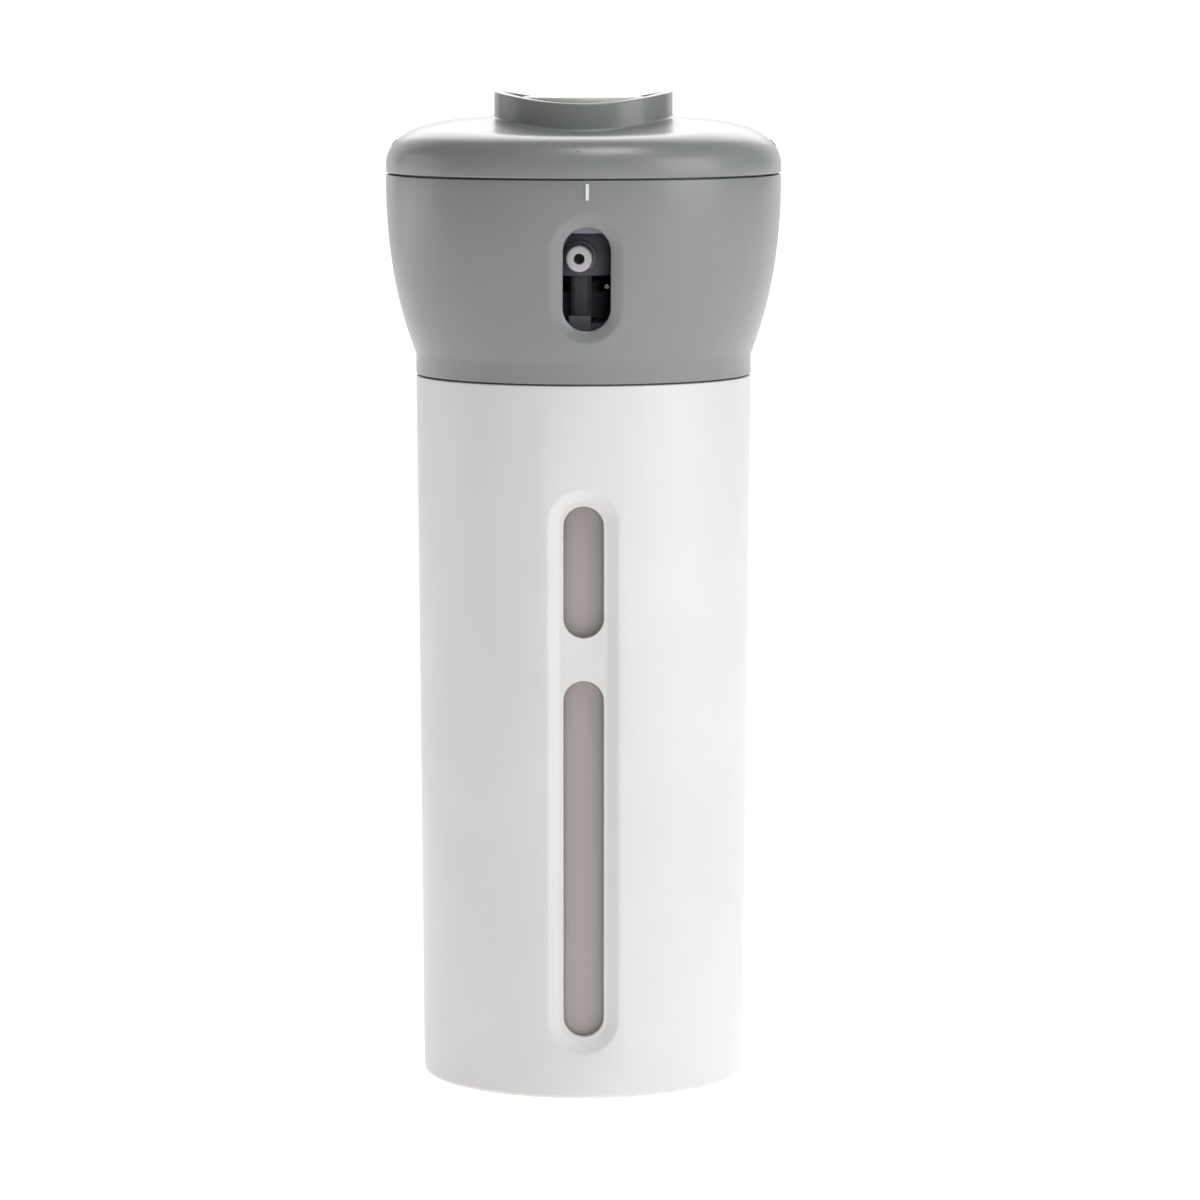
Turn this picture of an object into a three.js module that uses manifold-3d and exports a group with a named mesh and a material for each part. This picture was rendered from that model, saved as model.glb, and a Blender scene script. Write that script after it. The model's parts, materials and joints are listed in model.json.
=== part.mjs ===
// Four-in-one travel dispenser bottle, in millimetres, +Z up.
// Four refill bottles hang from a turret inside a white sleeve. Twisting the lid turns the turret
// and brings one pump's nozzle to the slot in the collar. Pressing the button works that pump.
// The origin is the middle of the foot that the dispenser stands on, and the slot faces -Y.
import * as THREE from "three";
import { mergeVertices } from "three/addons/utils/BufferGeometryUtils.js";
import Module from "manifold-3d";

const wasm = await Module();
wasm.setup();

// Clearances
const seatGap = 0.3; // between faces that rest on each other
const slideGap = 0.3; // round a piece that slides or turns in another
const bottleClearance = 0.35; // from the bottles to the sleeve's inside

// Outer sleeve: a drafted cup with a spigot that the collar slips over
const sleeveHeight = 134.3;
const sleeveFootRadius = 30.75;
const sleeveTopRadius = 31.85;
const sleeveWall = 1.8;
const footChamfer = 0.9;
const footRecess = 1.0;
const footRingWidth = 3.5;
const floorThickness = 1.6;
const spigotHeight = 5.4;
const spigotWall = 1.4;
const spigotStep = 2.6;

// Sight channel down the front of the sleeve, with two windows in it
const channelLow = 8.9;
const channelHigh = 114.8;
const channelHalfWidth = 6.3;
const channelDepth = 1.5;
const channelLand = 1.5; // wall left behind the channel
const padMargin = 0.8; // how far that wall runs on round the channel
const channelSlope = 1.9; // width of the sloping side, seen from the front
const windowHalfWidth = 3.75;
const lowerWindow = [11.6, 79.1];
const upperWindow = [87.1, 111.8];

// Collar: the flared grey housing round the pumps
const collarHeight = 37.8;
const headRadius = 37.5;
const collarWall = 2.0;
const collarLipHeight = 3.7;
const ledgeThickness = 1.5;
const ledgeMargin = 1.1; // from the bottles or their closures to the ledge's bore
const slotLow = 9.9; // heights above the collar's lower edge
const slotHigh = 29.1;
const slotHalfWidth = 4.4;
const slotBevel = 1.9;
const slotBevelDepth = 1.3;
const indexHeight = 3.0;
const indexWidth = 0.6;
const indexProud = 0.25;
const collarRestTurn = 1.0; // degrees, as photographed
const guideRibAngle = 24; // degrees either side of the slot
const guideRibThickness = 1.5;
const guideRibReach = 32.5;
const guideRibStart = 5; // above the turret plate

// Lid: the domed cap with its saddle-shaped finger ring
const lidShoulderHeight = 7.3;
const lidShoulderRadius = 32.6;
const lidDomeHeight = 11.2;
const lidWall = 2.0;
const ringRadius = 16.9;
const ringWall = 2.0;
const ringHeight = 15.3;
const ringDip = 2.0; // how far the rim dips at the front and back
const lidSpigotDepth = 3.5;
const lidSpigotWall = 1.6;
const markLength = 3.2;
const markWidth = 0.7;
const guideTubeRise = 1.5; // from the lid's lower edge to the tube that guides the button

// Button, presser and the stroke they share with the pumps
const stroke = 8.0;
const buttonPadRadius = 11.8;
const buttonPadHeight = 14.3; // above the lid's lower edge
const buttonPadRise = 2.8;
const buttonDish = 0.6;
const buttonWall = 1.4;
const buttonFlange = 1.0;
const buttonFlangeHeight = 1.4;
const buttonStemRadius = 3.9;
const presserThickness = 2.5;
const presserHubRadius = 6.8;
const presserHubHeight = 7.5;
const presserAngle = 22; // degrees either side of the slot

// Turret: the plate that carries the bottles, its centre post and its drive wall
const turretRestTurn = -1.5; // degrees, as photographed
const turretPlate = 2.4;
const plateOverlap = 0.6; // past the bore of the collar's lip
const postRadius = 5.0;
const postHeight = 6.0;
const postPinRadius = 3.1;
const postPinHeight = 3.0;
const driveWallMargin = 0.45; // from the plate's edge to the wall
const driveWallThickness = 2.0;
const driveWallStart = 33.4; // degrees past the slot at the first stop
const driveWallSpan = 26;
const hookWidth = 4.0;
const hookThickness = 1.2;
const hookBite = 0.9;

// Refill bottles: quarter-round, with the neck at the middle of the quarter
const stations = 4;
const bottleSideGap = 0.45; // from each side to the plane between two bottles
const bottleOuterCorner = 3.4;
const bottleInnerCorner = 7.0;
const bottleWall = 1.0;
const bottleFootRound = 2.2;
const bottleShoulderDrop = 19.0; // from the neck's top to where the shoulder starts
const neckPitch = 15.5; // from the turret's axis to each neck's axis
const neckRadius = 7.6;
const neckBore = 6.6;
const neckHeight = 11.0;

// Pumps
const closureWall = 1.2;
const closureHeight = 13.0;
const closureFlange = 0.8;
const closureFlangeHeight = 1.3;
const closureCrown = 5.6; // from the flange's seat to the top
const closureRibs = 8;
const gasketThickness = 0.7;
const chamberRadius = 4.9;
const chamberWall = 0.9;
const chamberDepth = 30.0;
const chamberFlange = 0.8;
const stemRadius = 2.0;
const stemBore = 1.0;
const pistonHeight = 4.0;
const pistonDepth = 8.5; // the piston's top below the neck's top
const ballRadius = 1.5;
const dipTubeRadius = 1.7;
const dipTubeBore = 1.0;
const dipTubeSocket = 4.0;
const throatHeight = 3.6; // from the tube's socket to the chamber's full bore
const dipTubeClear = 3.0; // from the tube's end to the bottle's floor
const actuatorRadius = 6.2;
const actuatorHeight = 8.2;
const actuatorWall = 1.2;
const nozzleRise = 3.7; // nozzle's axis above the actuator's lower edge
const nozzleRadius = 2.45;
const nozzleBore = 1.0;
const nozzleReach = 31.5; // from the turret's axis to the nozzle's tip
const nozzleLength = 9.0;
const spoutRadius = 3.1;
const springWire = 0.4;
const returnSpringWire = 0.45;

// Heights and radii that follow
const shoulderZ = sleeveHeight;
const collarZ = shoulderZ + seatGap;
const seamZ = collarZ + collarHeight;
const lidZ = seamZ + seatGap;
const spigotRadius = sleeveTopRadius - collarWall - slideGap;
const spigotTopZ = shoulderZ + spigotHeight;
const channelWallRadius = Math.min(sleeveFootRadius, sleeveTopRadius) - channelDepth - channelLand;
const bottleRadius = Math.min(channelWallRadius, spigotRadius - spigotWall) - bottleClearance;
const ledgeZ = spigotTopZ + seatGap;
const ledgeTopZ = ledgeZ + ledgeThickness;
const plateZ = ledgeTopZ + seatGap;
const plateTopZ = plateZ + turretPlate;
const plateRadius = sleeveTopRadius - collarWall + plateOverlap;
const driveWallRadius = plateRadius - driveWallMargin;
const floorTopZ = footRecess + floorThickness;
const bottleFootZ = floorTopZ + seatGap;
const closureInner = neckRadius + 0.4;
const closureRadius = closureInner + closureWall;
const ledgeBore = Math.max(bottleRadius, neckPitch + closureRadius + closureFlange) + ledgeMargin;
const closureFlangeTopZ = plateZ - seatGap;
const closureTopZ = closureFlangeTopZ - closureFlangeHeight - seatGap + closureCrown;
const closureZ = closureTopZ - closureHeight;
const chamberFlangeZ = closureTopZ - closureWall - seatGap - chamberFlange;
const neckTopZ = chamberFlangeZ - gasketThickness - 2 * seatGap;
const holeRadius = closureRadius + slideGap;
const hookTopZ = closureTopZ + seatGap + hookThickness;
const actuatorZ = closureTopZ + stroke + 2 * seatGap;
const actuatorTopZ = actuatorZ + actuatorHeight;
const nozzleZ = actuatorZ + nozzleRise;
const presserZ = actuatorTopZ + seatGap;
const postTopZ = plateTopZ + postHeight;
const ringBore = ringRadius - ringWall;
const buttonRadius = ringBore - slideGap;
const guideTubeZ = lidZ + guideTubeRise;
const buttonFlangeTopZ = guideTubeZ - seatGap;
const pistonTopZ = neckTopZ - pistonDepth;
const chamberZ = chamberFlangeZ - chamberDepth;
const chamberBore = chamberRadius - chamberWall;
const pistonRadius = chamberBore - 0.1;
const ballSeatZ = chamberZ + dipTubeSocket + 1.6;

const sides = 44; // round the case
const pumpSides = 10; // round the small pump pieces

const plastic = (color, roughness) =>
  new THREE.MeshStandardMaterial({ color, roughness, metalness: 0 });
const sleeveWhite = plastic(0xe4e3e1, 0.45);
const headGrey = plastic(0x808385, 0.38);
const buttonPale = plastic(0xcdcac3, 0.4);
const innerDark = plastic(0x2f3035, 0.5);
const nozzleWhite = plastic(0xe6e5e8, 0.4);
const bottleClear = new THREE.MeshStandardMaterial({
  color: 0xc9c7c5,
  roughness: 0.3,
  metalness: 0,
  transparent: true,
  opacity: 0.45,
});
const tubeClear = plastic(0xd9d9d4, 0.35);
const gasketWhite = plastic(0xd0d0cc, 0.7);
const steel = new THREE.MeshStandardMaterial({ color: 0xb4b7ba, roughness: 0.3, metalness: 1 });

const radians = THREE.MathUtils.degToRad;

// A geometry as a solid that can be joined and cut.
function solid(geometry) {
  const bare = geometry.clone();
  bare.deleteAttribute("normal");
  bare.deleteAttribute("uv");
  const merged = mergeVertices(bare, 1e-4);
  return new wasm.Manifold(
    new wasm.Mesh({
      numProp: 3,
      vertProperties: new Float32Array(merged.attributes.position.array),
      triVerts: new Uint32Array(merged.index.array),
    }),
  );
}

// A solid's surface as a geometry again.
function surface(shape) {
  const { vertProperties, triVerts } = shape.getMesh();
  const geometry = new THREE.BufferGeometry();
  geometry.setAttribute("position", new THREE.BufferAttribute(new Float32Array(vertProperties), 3));
  geometry.setIndex([...triVerts]);
  geometry.computeVertexNormals();
  return geometry;
}

// An outline of radius and height, turned round Z. The outline runs up its outside.
function revolved(outline, segments, curveSteps = 5) {
  const points = Array.isArray(outline)
    ? outline.map(([radius, z]) => new THREE.Vector2(radius, z))
    : outline.getPoints(curveSteps);
  return new THREE.LatheGeometry(points, segments).rotateX(Math.PI / 2);
}

// A flat shape in X and Y, raised from one height to another.
function raised(shape, low, high, curveSegments = 8) {
  return new THREE.ExtrudeGeometry(shape, {
    depth: high - low,
    bevelEnabled: false,
    curveSegments,
  }).translate(0, 0, low);
}

// A block between two corners.
function block(low, high) {
  const size = high.map((value, i) => value - low[i]);
  const middle = high.map((value, i) => (value + low[i]) / 2);
  return new THREE.BoxGeometry(...size).translate(...middle);
}

// Rings of points joined into one closed skin, with a middle point closing each end. Each ring
// runs counter-clockwise for someone whom the skin is coming towards.
function lofted(rings, middleOf) {
  const count = rings[0].length;
  const points = [...rings.flat(), middleOf(rings[0]), middleOf(rings.at(-1))];
  const first = rings.length * count;
  const faces = [];
  for (let i = 0; i < count; i++) {
    const next = (i + 1) % count;
    faces.push(first, next, i);
    const top = (rings.length - 1) * count;
    faces.push(first + 1, top + i, top + next);
    for (let row = 0; row + 1 < rings.length; row++) {
      const a = row * count;
      const b = a + count;
      faces.push(a + i, a + next, b + next, a + i, b + next, b + i);
    }
  }
  const geometry = new THREE.BufferGeometry().setFromPoints(points);
  geometry.setIndex(faces);
  geometry.computeVertexNormals();
  return geometry;
}

// An upright slot with round ends, drawn in X and Z: half its width, and its two ends.
function slotRing(halfWidth, low, high, arcSteps, sideSteps) {
  const ring = [];
  const arc = (middle, start) => {
    for (let i = 0; i <= arcSteps; i++) {
      const angle = start + (Math.PI * i) / arcSteps;
      ring.push([halfWidth * Math.cos(angle), middle + halfWidth * Math.sin(angle)]);
    }
  };
  const side = (x, from, to) => {
    for (let i = 1; i < sideSteps; i++) ring.push([x, from + ((to - from) * i) / sideSteps]);
  };
  arc(high - halfWidth, 0);
  side(-halfWidth, high - halfWidth, low + halfWidth);
  arc(low + halfWidth, Math.PI);
  side(halfWidth, low + halfWidth, high - halfWidth);
  return ring;
}

// A cutter through the front of a round wall: an upright slot, `slope` narrower at its depth
// than at the wall's outside, whose radius is given at each height. It goes straight on to
// `through` where that is given.
function slotCutter(radiusAt, depth, halfWidth, low, high, slope, sideSteps = 1, through = 0) {
  const beyond = 2;
  const grow = (slope * beyond) / depth;
  const ringAt = (wider, inward) =>
    slotRing(halfWidth + wider, low - wider, high + wider, 8, sideSteps).map(
      ([x, z]) => new THREE.Vector3(x, inward - radiusAt(z), z),
    );
  const middle = (low + high) / 2;
  const rings = [ringAt(-slope, depth), ringAt(grow, -beyond)];
  if (through) rings.unshift(ringAt(-slope, through));
  return lofted(rings, (ring) => {
    const reach = ring.reduce((sum, point) => sum + point.y, 0) / ring.length;
    return new THREE.Vector3(0, reach, middle);
  });
}

// A coil spring of round wire between two heights, its ends closed flat.
function coilSpring(meanRadius, wire, low, high, turns, stepsPerTurn = 9, wireSides = 4) {
  const rings = [];
  const steps = turns * stepsPerTurn;
  for (let i = 0; i <= steps; i++) {
    const angle = (2 * Math.PI * i) / stepsPerTurn;
    const z = low + wire + ((high - low - 2 * wire) * i) / steps;
    const ring = [];
    for (let k = 0; k < wireSides; k++) {
      const round = (2 * Math.PI * k) / wireSides;
      const radius = meanRadius + wire * Math.cos(round);
      ring.push(
        new THREE.Vector3(
          radius * Math.cos(angle),
          radius * Math.sin(angle),
          z + wire * Math.sin(round),
        ),
      );
    }
    rings.push(ring.reverse());
  }
  const middleOf = (ring) =>
    ring.reduce((sum, p) => sum.add(p), new THREE.Vector3()).divideScalar(wireSides);
  return lofted(rings, middleOf);
}

// Outside radius of the drafted sleeve at a height.
function sleeveRadiusAt(z) {
  return THREE.MathUtils.mapLinear(z, 0, shoulderZ, sleeveFootRadius, sleeveTopRadius);
}

// The sleeve: a drafted cup, with a channel and two sight windows in its front.
function outerSleeve() {
  const wallStep = shoulderZ - spigotStep;
  const outside = solid(
    revolved(
      [
        [0, 0],
        [sleeveFootRadius - footChamfer, 0],
        [sleeveFootRadius - footChamfer / 4, footChamfer / 4],
        [sleeveRadiusAt(footChamfer), footChamfer],
        [sleeveTopRadius, shoulderZ],
        [spigotRadius, shoulderZ],
        [spigotRadius, spigotTopZ - 0.6],
        [spigotRadius - 0.5, spigotTopZ],
        [0, spigotTopZ],
      ],
      sides,
    ),
  );
  const inside = solid(
    revolved(
      [
        [0, floorTopZ],
        [sleeveRadiusAt(floorTopZ) - sleeveWall - 1, floorTopZ],
        [sleeveRadiusAt(floorTopZ) - sleeveWall, floorTopZ + 1],
        [sleeveRadiusAt(wallStep) - sleeveWall, wallStep - 1],
        [spigotRadius - spigotWall, wallStep + 1.2],
        [spigotRadius - spigotWall, spigotTopZ + 1],
        [0, spigotTopZ + 1],
      ],
      sides,
    ),
  );
  const landDepth = channelDepth + channelLand;
  const pad = slotCutter(
    sleeveRadiusAt, landDepth, channelHalfWidth + padMargin, channelLow - padMargin,
    channelHigh + padMargin, 0,
  );
  const channel = slotCutter(
    sleeveRadiusAt, channelDepth, channelHalfWidth, channelLow, channelHigh, channelSlope,
  );
  let sleeve = outside.subtract(inside.subtract(solid(pad))).subtract(solid(channel));
  for (const [low, high] of [lowerWindow, upperWindow]) {
    const cut = slotCutter(sleeveRadiusAt, landDepth + 1, windowHalfWidth, low, high, 0);
    sleeve = sleeve.subtract(solid(cut));
  }
  const recess = revolved(
    [
      [0, -1],
      [sleeveFootRadius - footChamfer - footRingWidth, -1],
      [sleeveFootRadius - footChamfer - footRingWidth, footRecess],
      [0, footRecess],
    ],
    sides,
  );
  return sleeve.subtract(solid(recess));
}

// The three points that bend the collar's flare, set in by `inset` from the outside.
function flarePoints(inset) {
  return [
    [sleeveTopRadius - inset, collarZ + collarLipHeight],
    [headRadius - 0.2 - inset, collarZ + 0.47 * collarHeight],
    [headRadius - inset, collarZ + 0.93 * collarHeight],
  ];
}

// The flare from the collar's lip up to its full width, or back down.
function flare(outline, inset, up) {
  const [low, pull, high] = flarePoints(inset);
  if (up) outline.quadraticCurveTo(...pull, ...high);
  else outline.quadraticCurveTo(...pull, ...low);
}

// Outside radius of the collar's flare at a height.
function collarRadiusAt(z) {
  const [low, pull, high] = flarePoints(0);
  const a = low[1] - 2 * pull[1] + high[1];
  const b = 2 * (pull[1] - low[1]);
  const c = low[1] - THREE.MathUtils.clamp(z, low[1], high[1]);
  const t = (2 * -c) / (b + Math.sqrt(b * b - 4 * a * c));
  return low[0] * (1 - t) ** 2 + 2 * pull[0] * t * (1 - t) + high[0] * t * t;
}

// The collar: flared housing with the nozzle slot, an index rib and guides for the presser.
function collar() {
  const lipBore = sleeveTopRadius - collarWall;
  const outline = new THREE.Path();
  outline.moveTo(lipBore, collarZ);
  outline.lineTo(sleeveTopRadius - 0.3, collarZ);
  outline.lineTo(sleeveTopRadius, collarZ + 0.3);
  outline.lineTo(sleeveTopRadius, collarZ + collarLipHeight);
  flare(outline, 0, true);
  outline.lineTo(headRadius, seamZ - 0.3);
  outline.lineTo(headRadius - 0.3, seamZ);
  outline.lineTo(headRadius - collarWall, seamZ);
  outline.lineTo(headRadius - collarWall, collarZ + 0.93 * collarHeight);
  flare(outline, collarWall, false);
  outline.lineTo(lipBore, collarZ);
  const ledgeRoot = lipBore + 0.7 * collarWall;
  const ledge = [
    [ledgeBore, ledgeZ],
    [ledgeRoot, ledgeZ],
    [ledgeRoot, ledgeTopZ],
    [ledgeBore, ledgeTopZ],
    [ledgeBore, ledgeZ],
  ];
  let body = solid(revolved(outline, sides, 4)).add(solid(revolved(ledge, sides)));
  const low = collarZ + slotLow;
  const high = collarZ + slotHigh;
  const slot = slotCutter(
    collarRadiusAt, slotBevelDepth, slotHalfWidth + slotBevel, low - slotBevel,
    high + slotBevel, slotBevel, 5, collarWall + 1.5,
  );
  body = body.subtract(solid(slot));
  const ribLow = plateTopZ + guideRibStart;
  const ribHigh = seamZ - lidSpigotDepth - seatGap;
  const inner = solid(
    raised(new THREE.Shape().absarc(0, 0, guideRibReach, 0, 2 * Math.PI), ribLow, ribHigh, sides / 2),
  );
  const filled = solid(filledCollar());
  for (const side of [-1, 1]) {
    const rib = block(
      [-guideRibThickness / 2, -headRadius, ribLow],
      [guideRibThickness / 2, -guideRibReach + 2, ribHigh],
    ).rotateZ(side * radians(guideRibAngle));
    body = body.add(solid(rib).subtract(inner).intersect(filled));
  }
  const index = block(
    [-indexWidth / 2, -headRadius - indexProud, seamZ - indexHeight - 0.6],
    [indexWidth / 2, -headRadius + 1, seamZ - 0.6],
  );
  return body.add(solid(index));
}

// The collar's outer form without its hollow, set in a little, which the guide ribs stay inside.
function filledCollar() {
  const inset = collarWall / 2;
  const outline = new THREE.Path();
  outline.moveTo(0, collarZ);
  outline.lineTo(sleeveTopRadius - inset, collarZ);
  outline.lineTo(sleeveTopRadius - inset, collarZ + collarLipHeight);
  flare(outline, inset, true);
  outline.lineTo(headRadius - inset, seamZ);
  outline.lineTo(0, seamZ);
  return revolved(outline, sides, 4);
}

// The lid: a domed cap with a finger ring, a guide tube for the button and a drive socket.
function lid() {
  const spigot = headRadius - collarWall - slideGap;
  const domeFoot = ringRadius + 1.7;
  const outline = new THREE.Path();
  outline.moveTo(spigot, lidZ);
  outline.lineTo(headRadius - 0.4, lidZ);
  outline.lineTo(headRadius, lidZ + 0.4);
  outline.lineTo(headRadius, lidZ + 1.7);
  outline.quadraticCurveTo(
    headRadius - 0.2, lidZ + lidShoulderHeight - 1,
    lidShoulderRadius, lidZ + lidShoulderHeight,
  );
  outline.lineTo(domeFoot, lidZ + lidDomeHeight);
  outline.quadraticCurveTo(
    ringRadius + 0.2, lidZ + lidDomeHeight + 0.4,
    ringRadius, lidZ + lidDomeHeight + 1.9,
  );
  outline.lineTo(ringRadius, lidZ + ringHeight + 1);
  outline.lineTo(ringBore, lidZ + ringHeight + 1);
  outline.lineTo(ringBore, guideTubeZ);
  outline.lineTo(ringRadius - 0.3, guideTubeZ);
  outline.lineTo(ringRadius - 0.3, lidZ + lidDomeHeight - lidWall - 0.3);
  outline.lineTo(lidShoulderRadius - 1.4, lidZ + lidShoulderHeight - lidWall);
  outline.quadraticCurveTo(
    spigot - lidSpigotWall, lidZ + lidShoulderHeight - lidWall - 0.7,
    spigot - lidSpigotWall, lidZ + 1,
  );
  outline.lineTo(spigot - lidSpigotWall, lidZ - lidSpigotDepth);
  outline.lineTo(spigot - 0.5, lidZ - lidSpigotDepth);
  outline.lineTo(spigot, lidZ - lidSpigotDepth + 0.5);
  outline.lineTo(spigot, lidZ);
  let body = solid(revolved(outline, sides, 3));
  body = body.subtract(solid(ringScoop()));
  const socketLow = lidZ + 0.6;
  const socketHigh = lidZ + lidShoulderHeight - lidWall / 2;
  const reach = [driveWallRadius - driveWallThickness - 1, driveWallRadius + 1];
  const halfRib = 0.7;
  const play = THREE.MathUtils.radToDeg((halfRib + slideGap) / reach[0]);
  for (const angle of [driveWallStart - play, driveWallStart + driveWallSpan + play]) {
    const rib = block(
      [-halfRib, -reach[1], socketLow],
      [halfRib, -reach[0], socketHigh],
    ).rotateZ(radians(angle));
    body = body.add(solid(rib));
  }
  for (let i = 0; i < stations; i++) {
    const slope = Math.atan((lidDomeHeight - lidShoulderHeight) / (lidShoulderRadius - domeFoot));
    const mark = block([-markWidth / 2, -markLength, -0.8], [markWidth / 2, 0, 0.25])
      .rotateX(slope)
      .translate(0, -lidShoulderRadius + 1.5, lidZ + lidShoulderHeight + 0.3)
      .rotateZ((2 * Math.PI * i) / stations);
    body = body.add(solid(mark));
  }
  return body;
}

// What the saddle takes off the ring: an arc that dips at the front and back.
function ringScoop() {
  const rimZ = lidZ + ringHeight;
  const radius = (ringRadius ** 2 + ringDip ** 2) / (2 * ringDip);
  const half = Math.asin((ringRadius + 1) / (radius + 0.001));
  const shape = new THREE.Shape();
  shape.absarc(0, rimZ - ringDip + radius, radius, -Math.PI / 2 - half, -Math.PI / 2 + half, false);
  shape.lineTo(ringRadius + 1, rimZ + 5);
  shape.lineTo(-ringRadius - 1, rimZ + 5);
  shape.closePath();
  const depth = 2 * ringRadius + 4;
  return new THREE.ExtrudeGeometry(shape, { depth, bevelEnabled: false, curveSegments: 10 })
    .translate(0, 0, -depth / 2)
    .rotateX(Math.PI / 2);
}

// The button: a dished pad on a skirt that slides in the ring, with a stem down to the presser.
function button() {
  const padZ = lidZ + buttonPadHeight;
  const deckZ = padZ - buttonPadRise;
  const flangeZ = buttonFlangeTopZ - buttonFlangeHeight;
  const stemZ = presserZ + presserThickness + seatGap;
  const outline = new THREE.Path();
  outline.moveTo(0, stemZ);
  outline.lineTo(buttonStemRadius, stemZ);
  outline.lineTo(buttonStemRadius, deckZ - buttonWall);
  outline.lineTo(buttonRadius - buttonWall, deckZ - buttonWall);
  outline.lineTo(buttonRadius - buttonWall, flangeZ);
  outline.lineTo(buttonRadius + buttonFlange, flangeZ);
  outline.lineTo(buttonRadius + buttonFlange, buttonFlangeTopZ);
  outline.lineTo(buttonRadius, buttonFlangeTopZ);
  outline.lineTo(buttonRadius, deckZ - 0.5);
  outline.lineTo(buttonRadius - 0.5, deckZ);
  outline.lineTo(buttonPadRadius, deckZ);
  outline.lineTo(buttonPadRadius, padZ - 0.7);
  outline.quadraticCurveTo(buttonPadRadius, padZ, buttonPadRadius - 0.9, padZ);
  outline.quadraticCurveTo(buttonPadRadius / 2, padZ - buttonDish, 0, padZ - buttonDish);
  return revolved(outline, 32, 2);
}

// The presser: a fan over the front pump, kept there by the collar's guides.
function presser() {
  const reach = headRadius - collarWall - 1.8;
  const half = radians(presserAngle);
  const fan = new THREE.Shape();
  fan.moveTo(presserHubRadius * 0.9, 0);
  fan.lineTo(reach * Math.sin(half), -reach * Math.cos(half));
  fan.absarc(0, 0, reach, -Math.PI / 2 + half, -Math.PI / 2 - half, true);
  fan.lineTo(-presserHubRadius * 0.9, 0);
  fan.closePath();
  const hub = [
    [0, presserZ],
    [presserHubRadius, presserZ],
    [presserHubRadius, presserZ + presserHubHeight],
    [buttonStemRadius + slideGap, presserZ + presserHubHeight],
    [buttonStemRadius + slideGap, presserZ + presserThickness],
    [0, presserZ + presserThickness],
  ];
  let body = solid(raised(fan, presserZ, presserZ + presserThickness));
  body = body.add(solid(revolved(hub, 24)));
  for (const side of [-1, 1]) {
    const rib = block(
      [-0.6, -reach + 3, presserZ + presserThickness / 2],
      [0.6, -presserHubRadius + 0.6, presserZ + presserThickness + 1.6],
    ).rotateZ((side * half) / 2);
    body = body.add(solid(rib));
  }
  return body;
}

// The turret: a plate on the collar's ledge, with a post, bottle hooks and the drive wall.
function turret() {
  const plate = [
    [0, plateZ],
    [plateRadius - 0.5, plateZ],
    [plateRadius, plateZ + 0.5],
    [plateRadius, plateTopZ],
    [postRadius, plateTopZ],
    [postRadius, postTopZ],
    [postPinRadius, postTopZ],
    [postPinRadius, postTopZ + postPinHeight],
    [0, postTopZ + postPinHeight],
  ];
  let body = solid(revolved(plate, 36));
  const hole = [
    [0, plateZ - 1],
    [holeRadius, plateZ - 1],
    [holeRadius, plateTopZ + 1],
    [0, plateTopZ + 1],
  ];
  for (let i = 0; i < stations; i++) {
    const turn = (2 * Math.PI * i) / stations;
    const bore = revolved(hole, 16).translate(0, -neckPitch, 0).rotateZ(turn);
    body = body.subtract(solid(bore));
  }
  for (let i = 0; i < stations; i++) {
    const turn = (2 * Math.PI * i) / stations;
    const edge = neckPitch + holeRadius;
    const leg = block(
      [-hookWidth / 2, -edge - hookThickness, plateTopZ - 1],
      [hookWidth / 2, -edge, hookTopZ],
    ).rotateZ(turn);
    const nib = block(
      [-hookWidth / 2, -edge - hookThickness / 2, hookTopZ - hookThickness],
      [hookWidth / 2, -edge + slideGap + hookBite, hookTopZ],
    ).rotateZ(turn);
    body = body.add(solid(leg)).add(solid(nib));
  }
  return body.add(solid(driveWall()));
}

// The upright arc that the lid's socket takes hold of.
function driveWall() {
  const start = radians(driveWallStart - 90);
  const end = radians(driveWallStart + driveWallSpan - 90);
  const arc = new THREE.Shape();
  arc.absarc(0, 0, driveWallRadius, start, end, false);
  arc.absarc(0, 0, driveWallRadius - driveWallThickness, end, start, true);
  arc.closePath();
  return raised(arc, plateTopZ - 0.5, lidZ + lidShoulderHeight - lidWall - 1.2, 6);
}

// The quarter-round outline of a bottle, facing -Y, set in from its outside.
function bottleOutline(inset) {
  const radius = bottleRadius - inset;
  const gap = bottleSideGap + inset;
  const corner = Math.max(bottleOuterCorner - inset, 0.4);
  const inner = Math.max(bottleInnerCorner - inset, 0.4);
  const half = Math.PI / stations;
  const cornerReach = Math.sqrt((radius - corner) ** 2 - (gap + corner) ** 2);
  const lean = Math.atan2(gap + corner, cornerReach);
  const cornerAt = -Math.PI / 2 + half - lean;
  const cornerX = (radius - corner) * Math.cos(cornerAt);
  const cornerY = (radius - corner) * Math.sin(cornerAt);
  const innerY = -(gap + inner) / Math.sin(half);
  const side = half; // direction of the outward normal of the right side
  const outline = new THREE.Shape();
  outline.absarc(cornerX, cornerY, corner, cornerAt, side, false);
  outline.absarc(0, innerY, inner, side, Math.PI - side, false);
  outline.absarc(-cornerX, cornerY, corner, Math.PI - side, 3 * Math.PI - cornerAt - Math.PI * 2, false);
  outline.absarc(0, 0, radius, -Math.PI - cornerAt, cornerAt, false);
  return outline;
}

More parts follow.
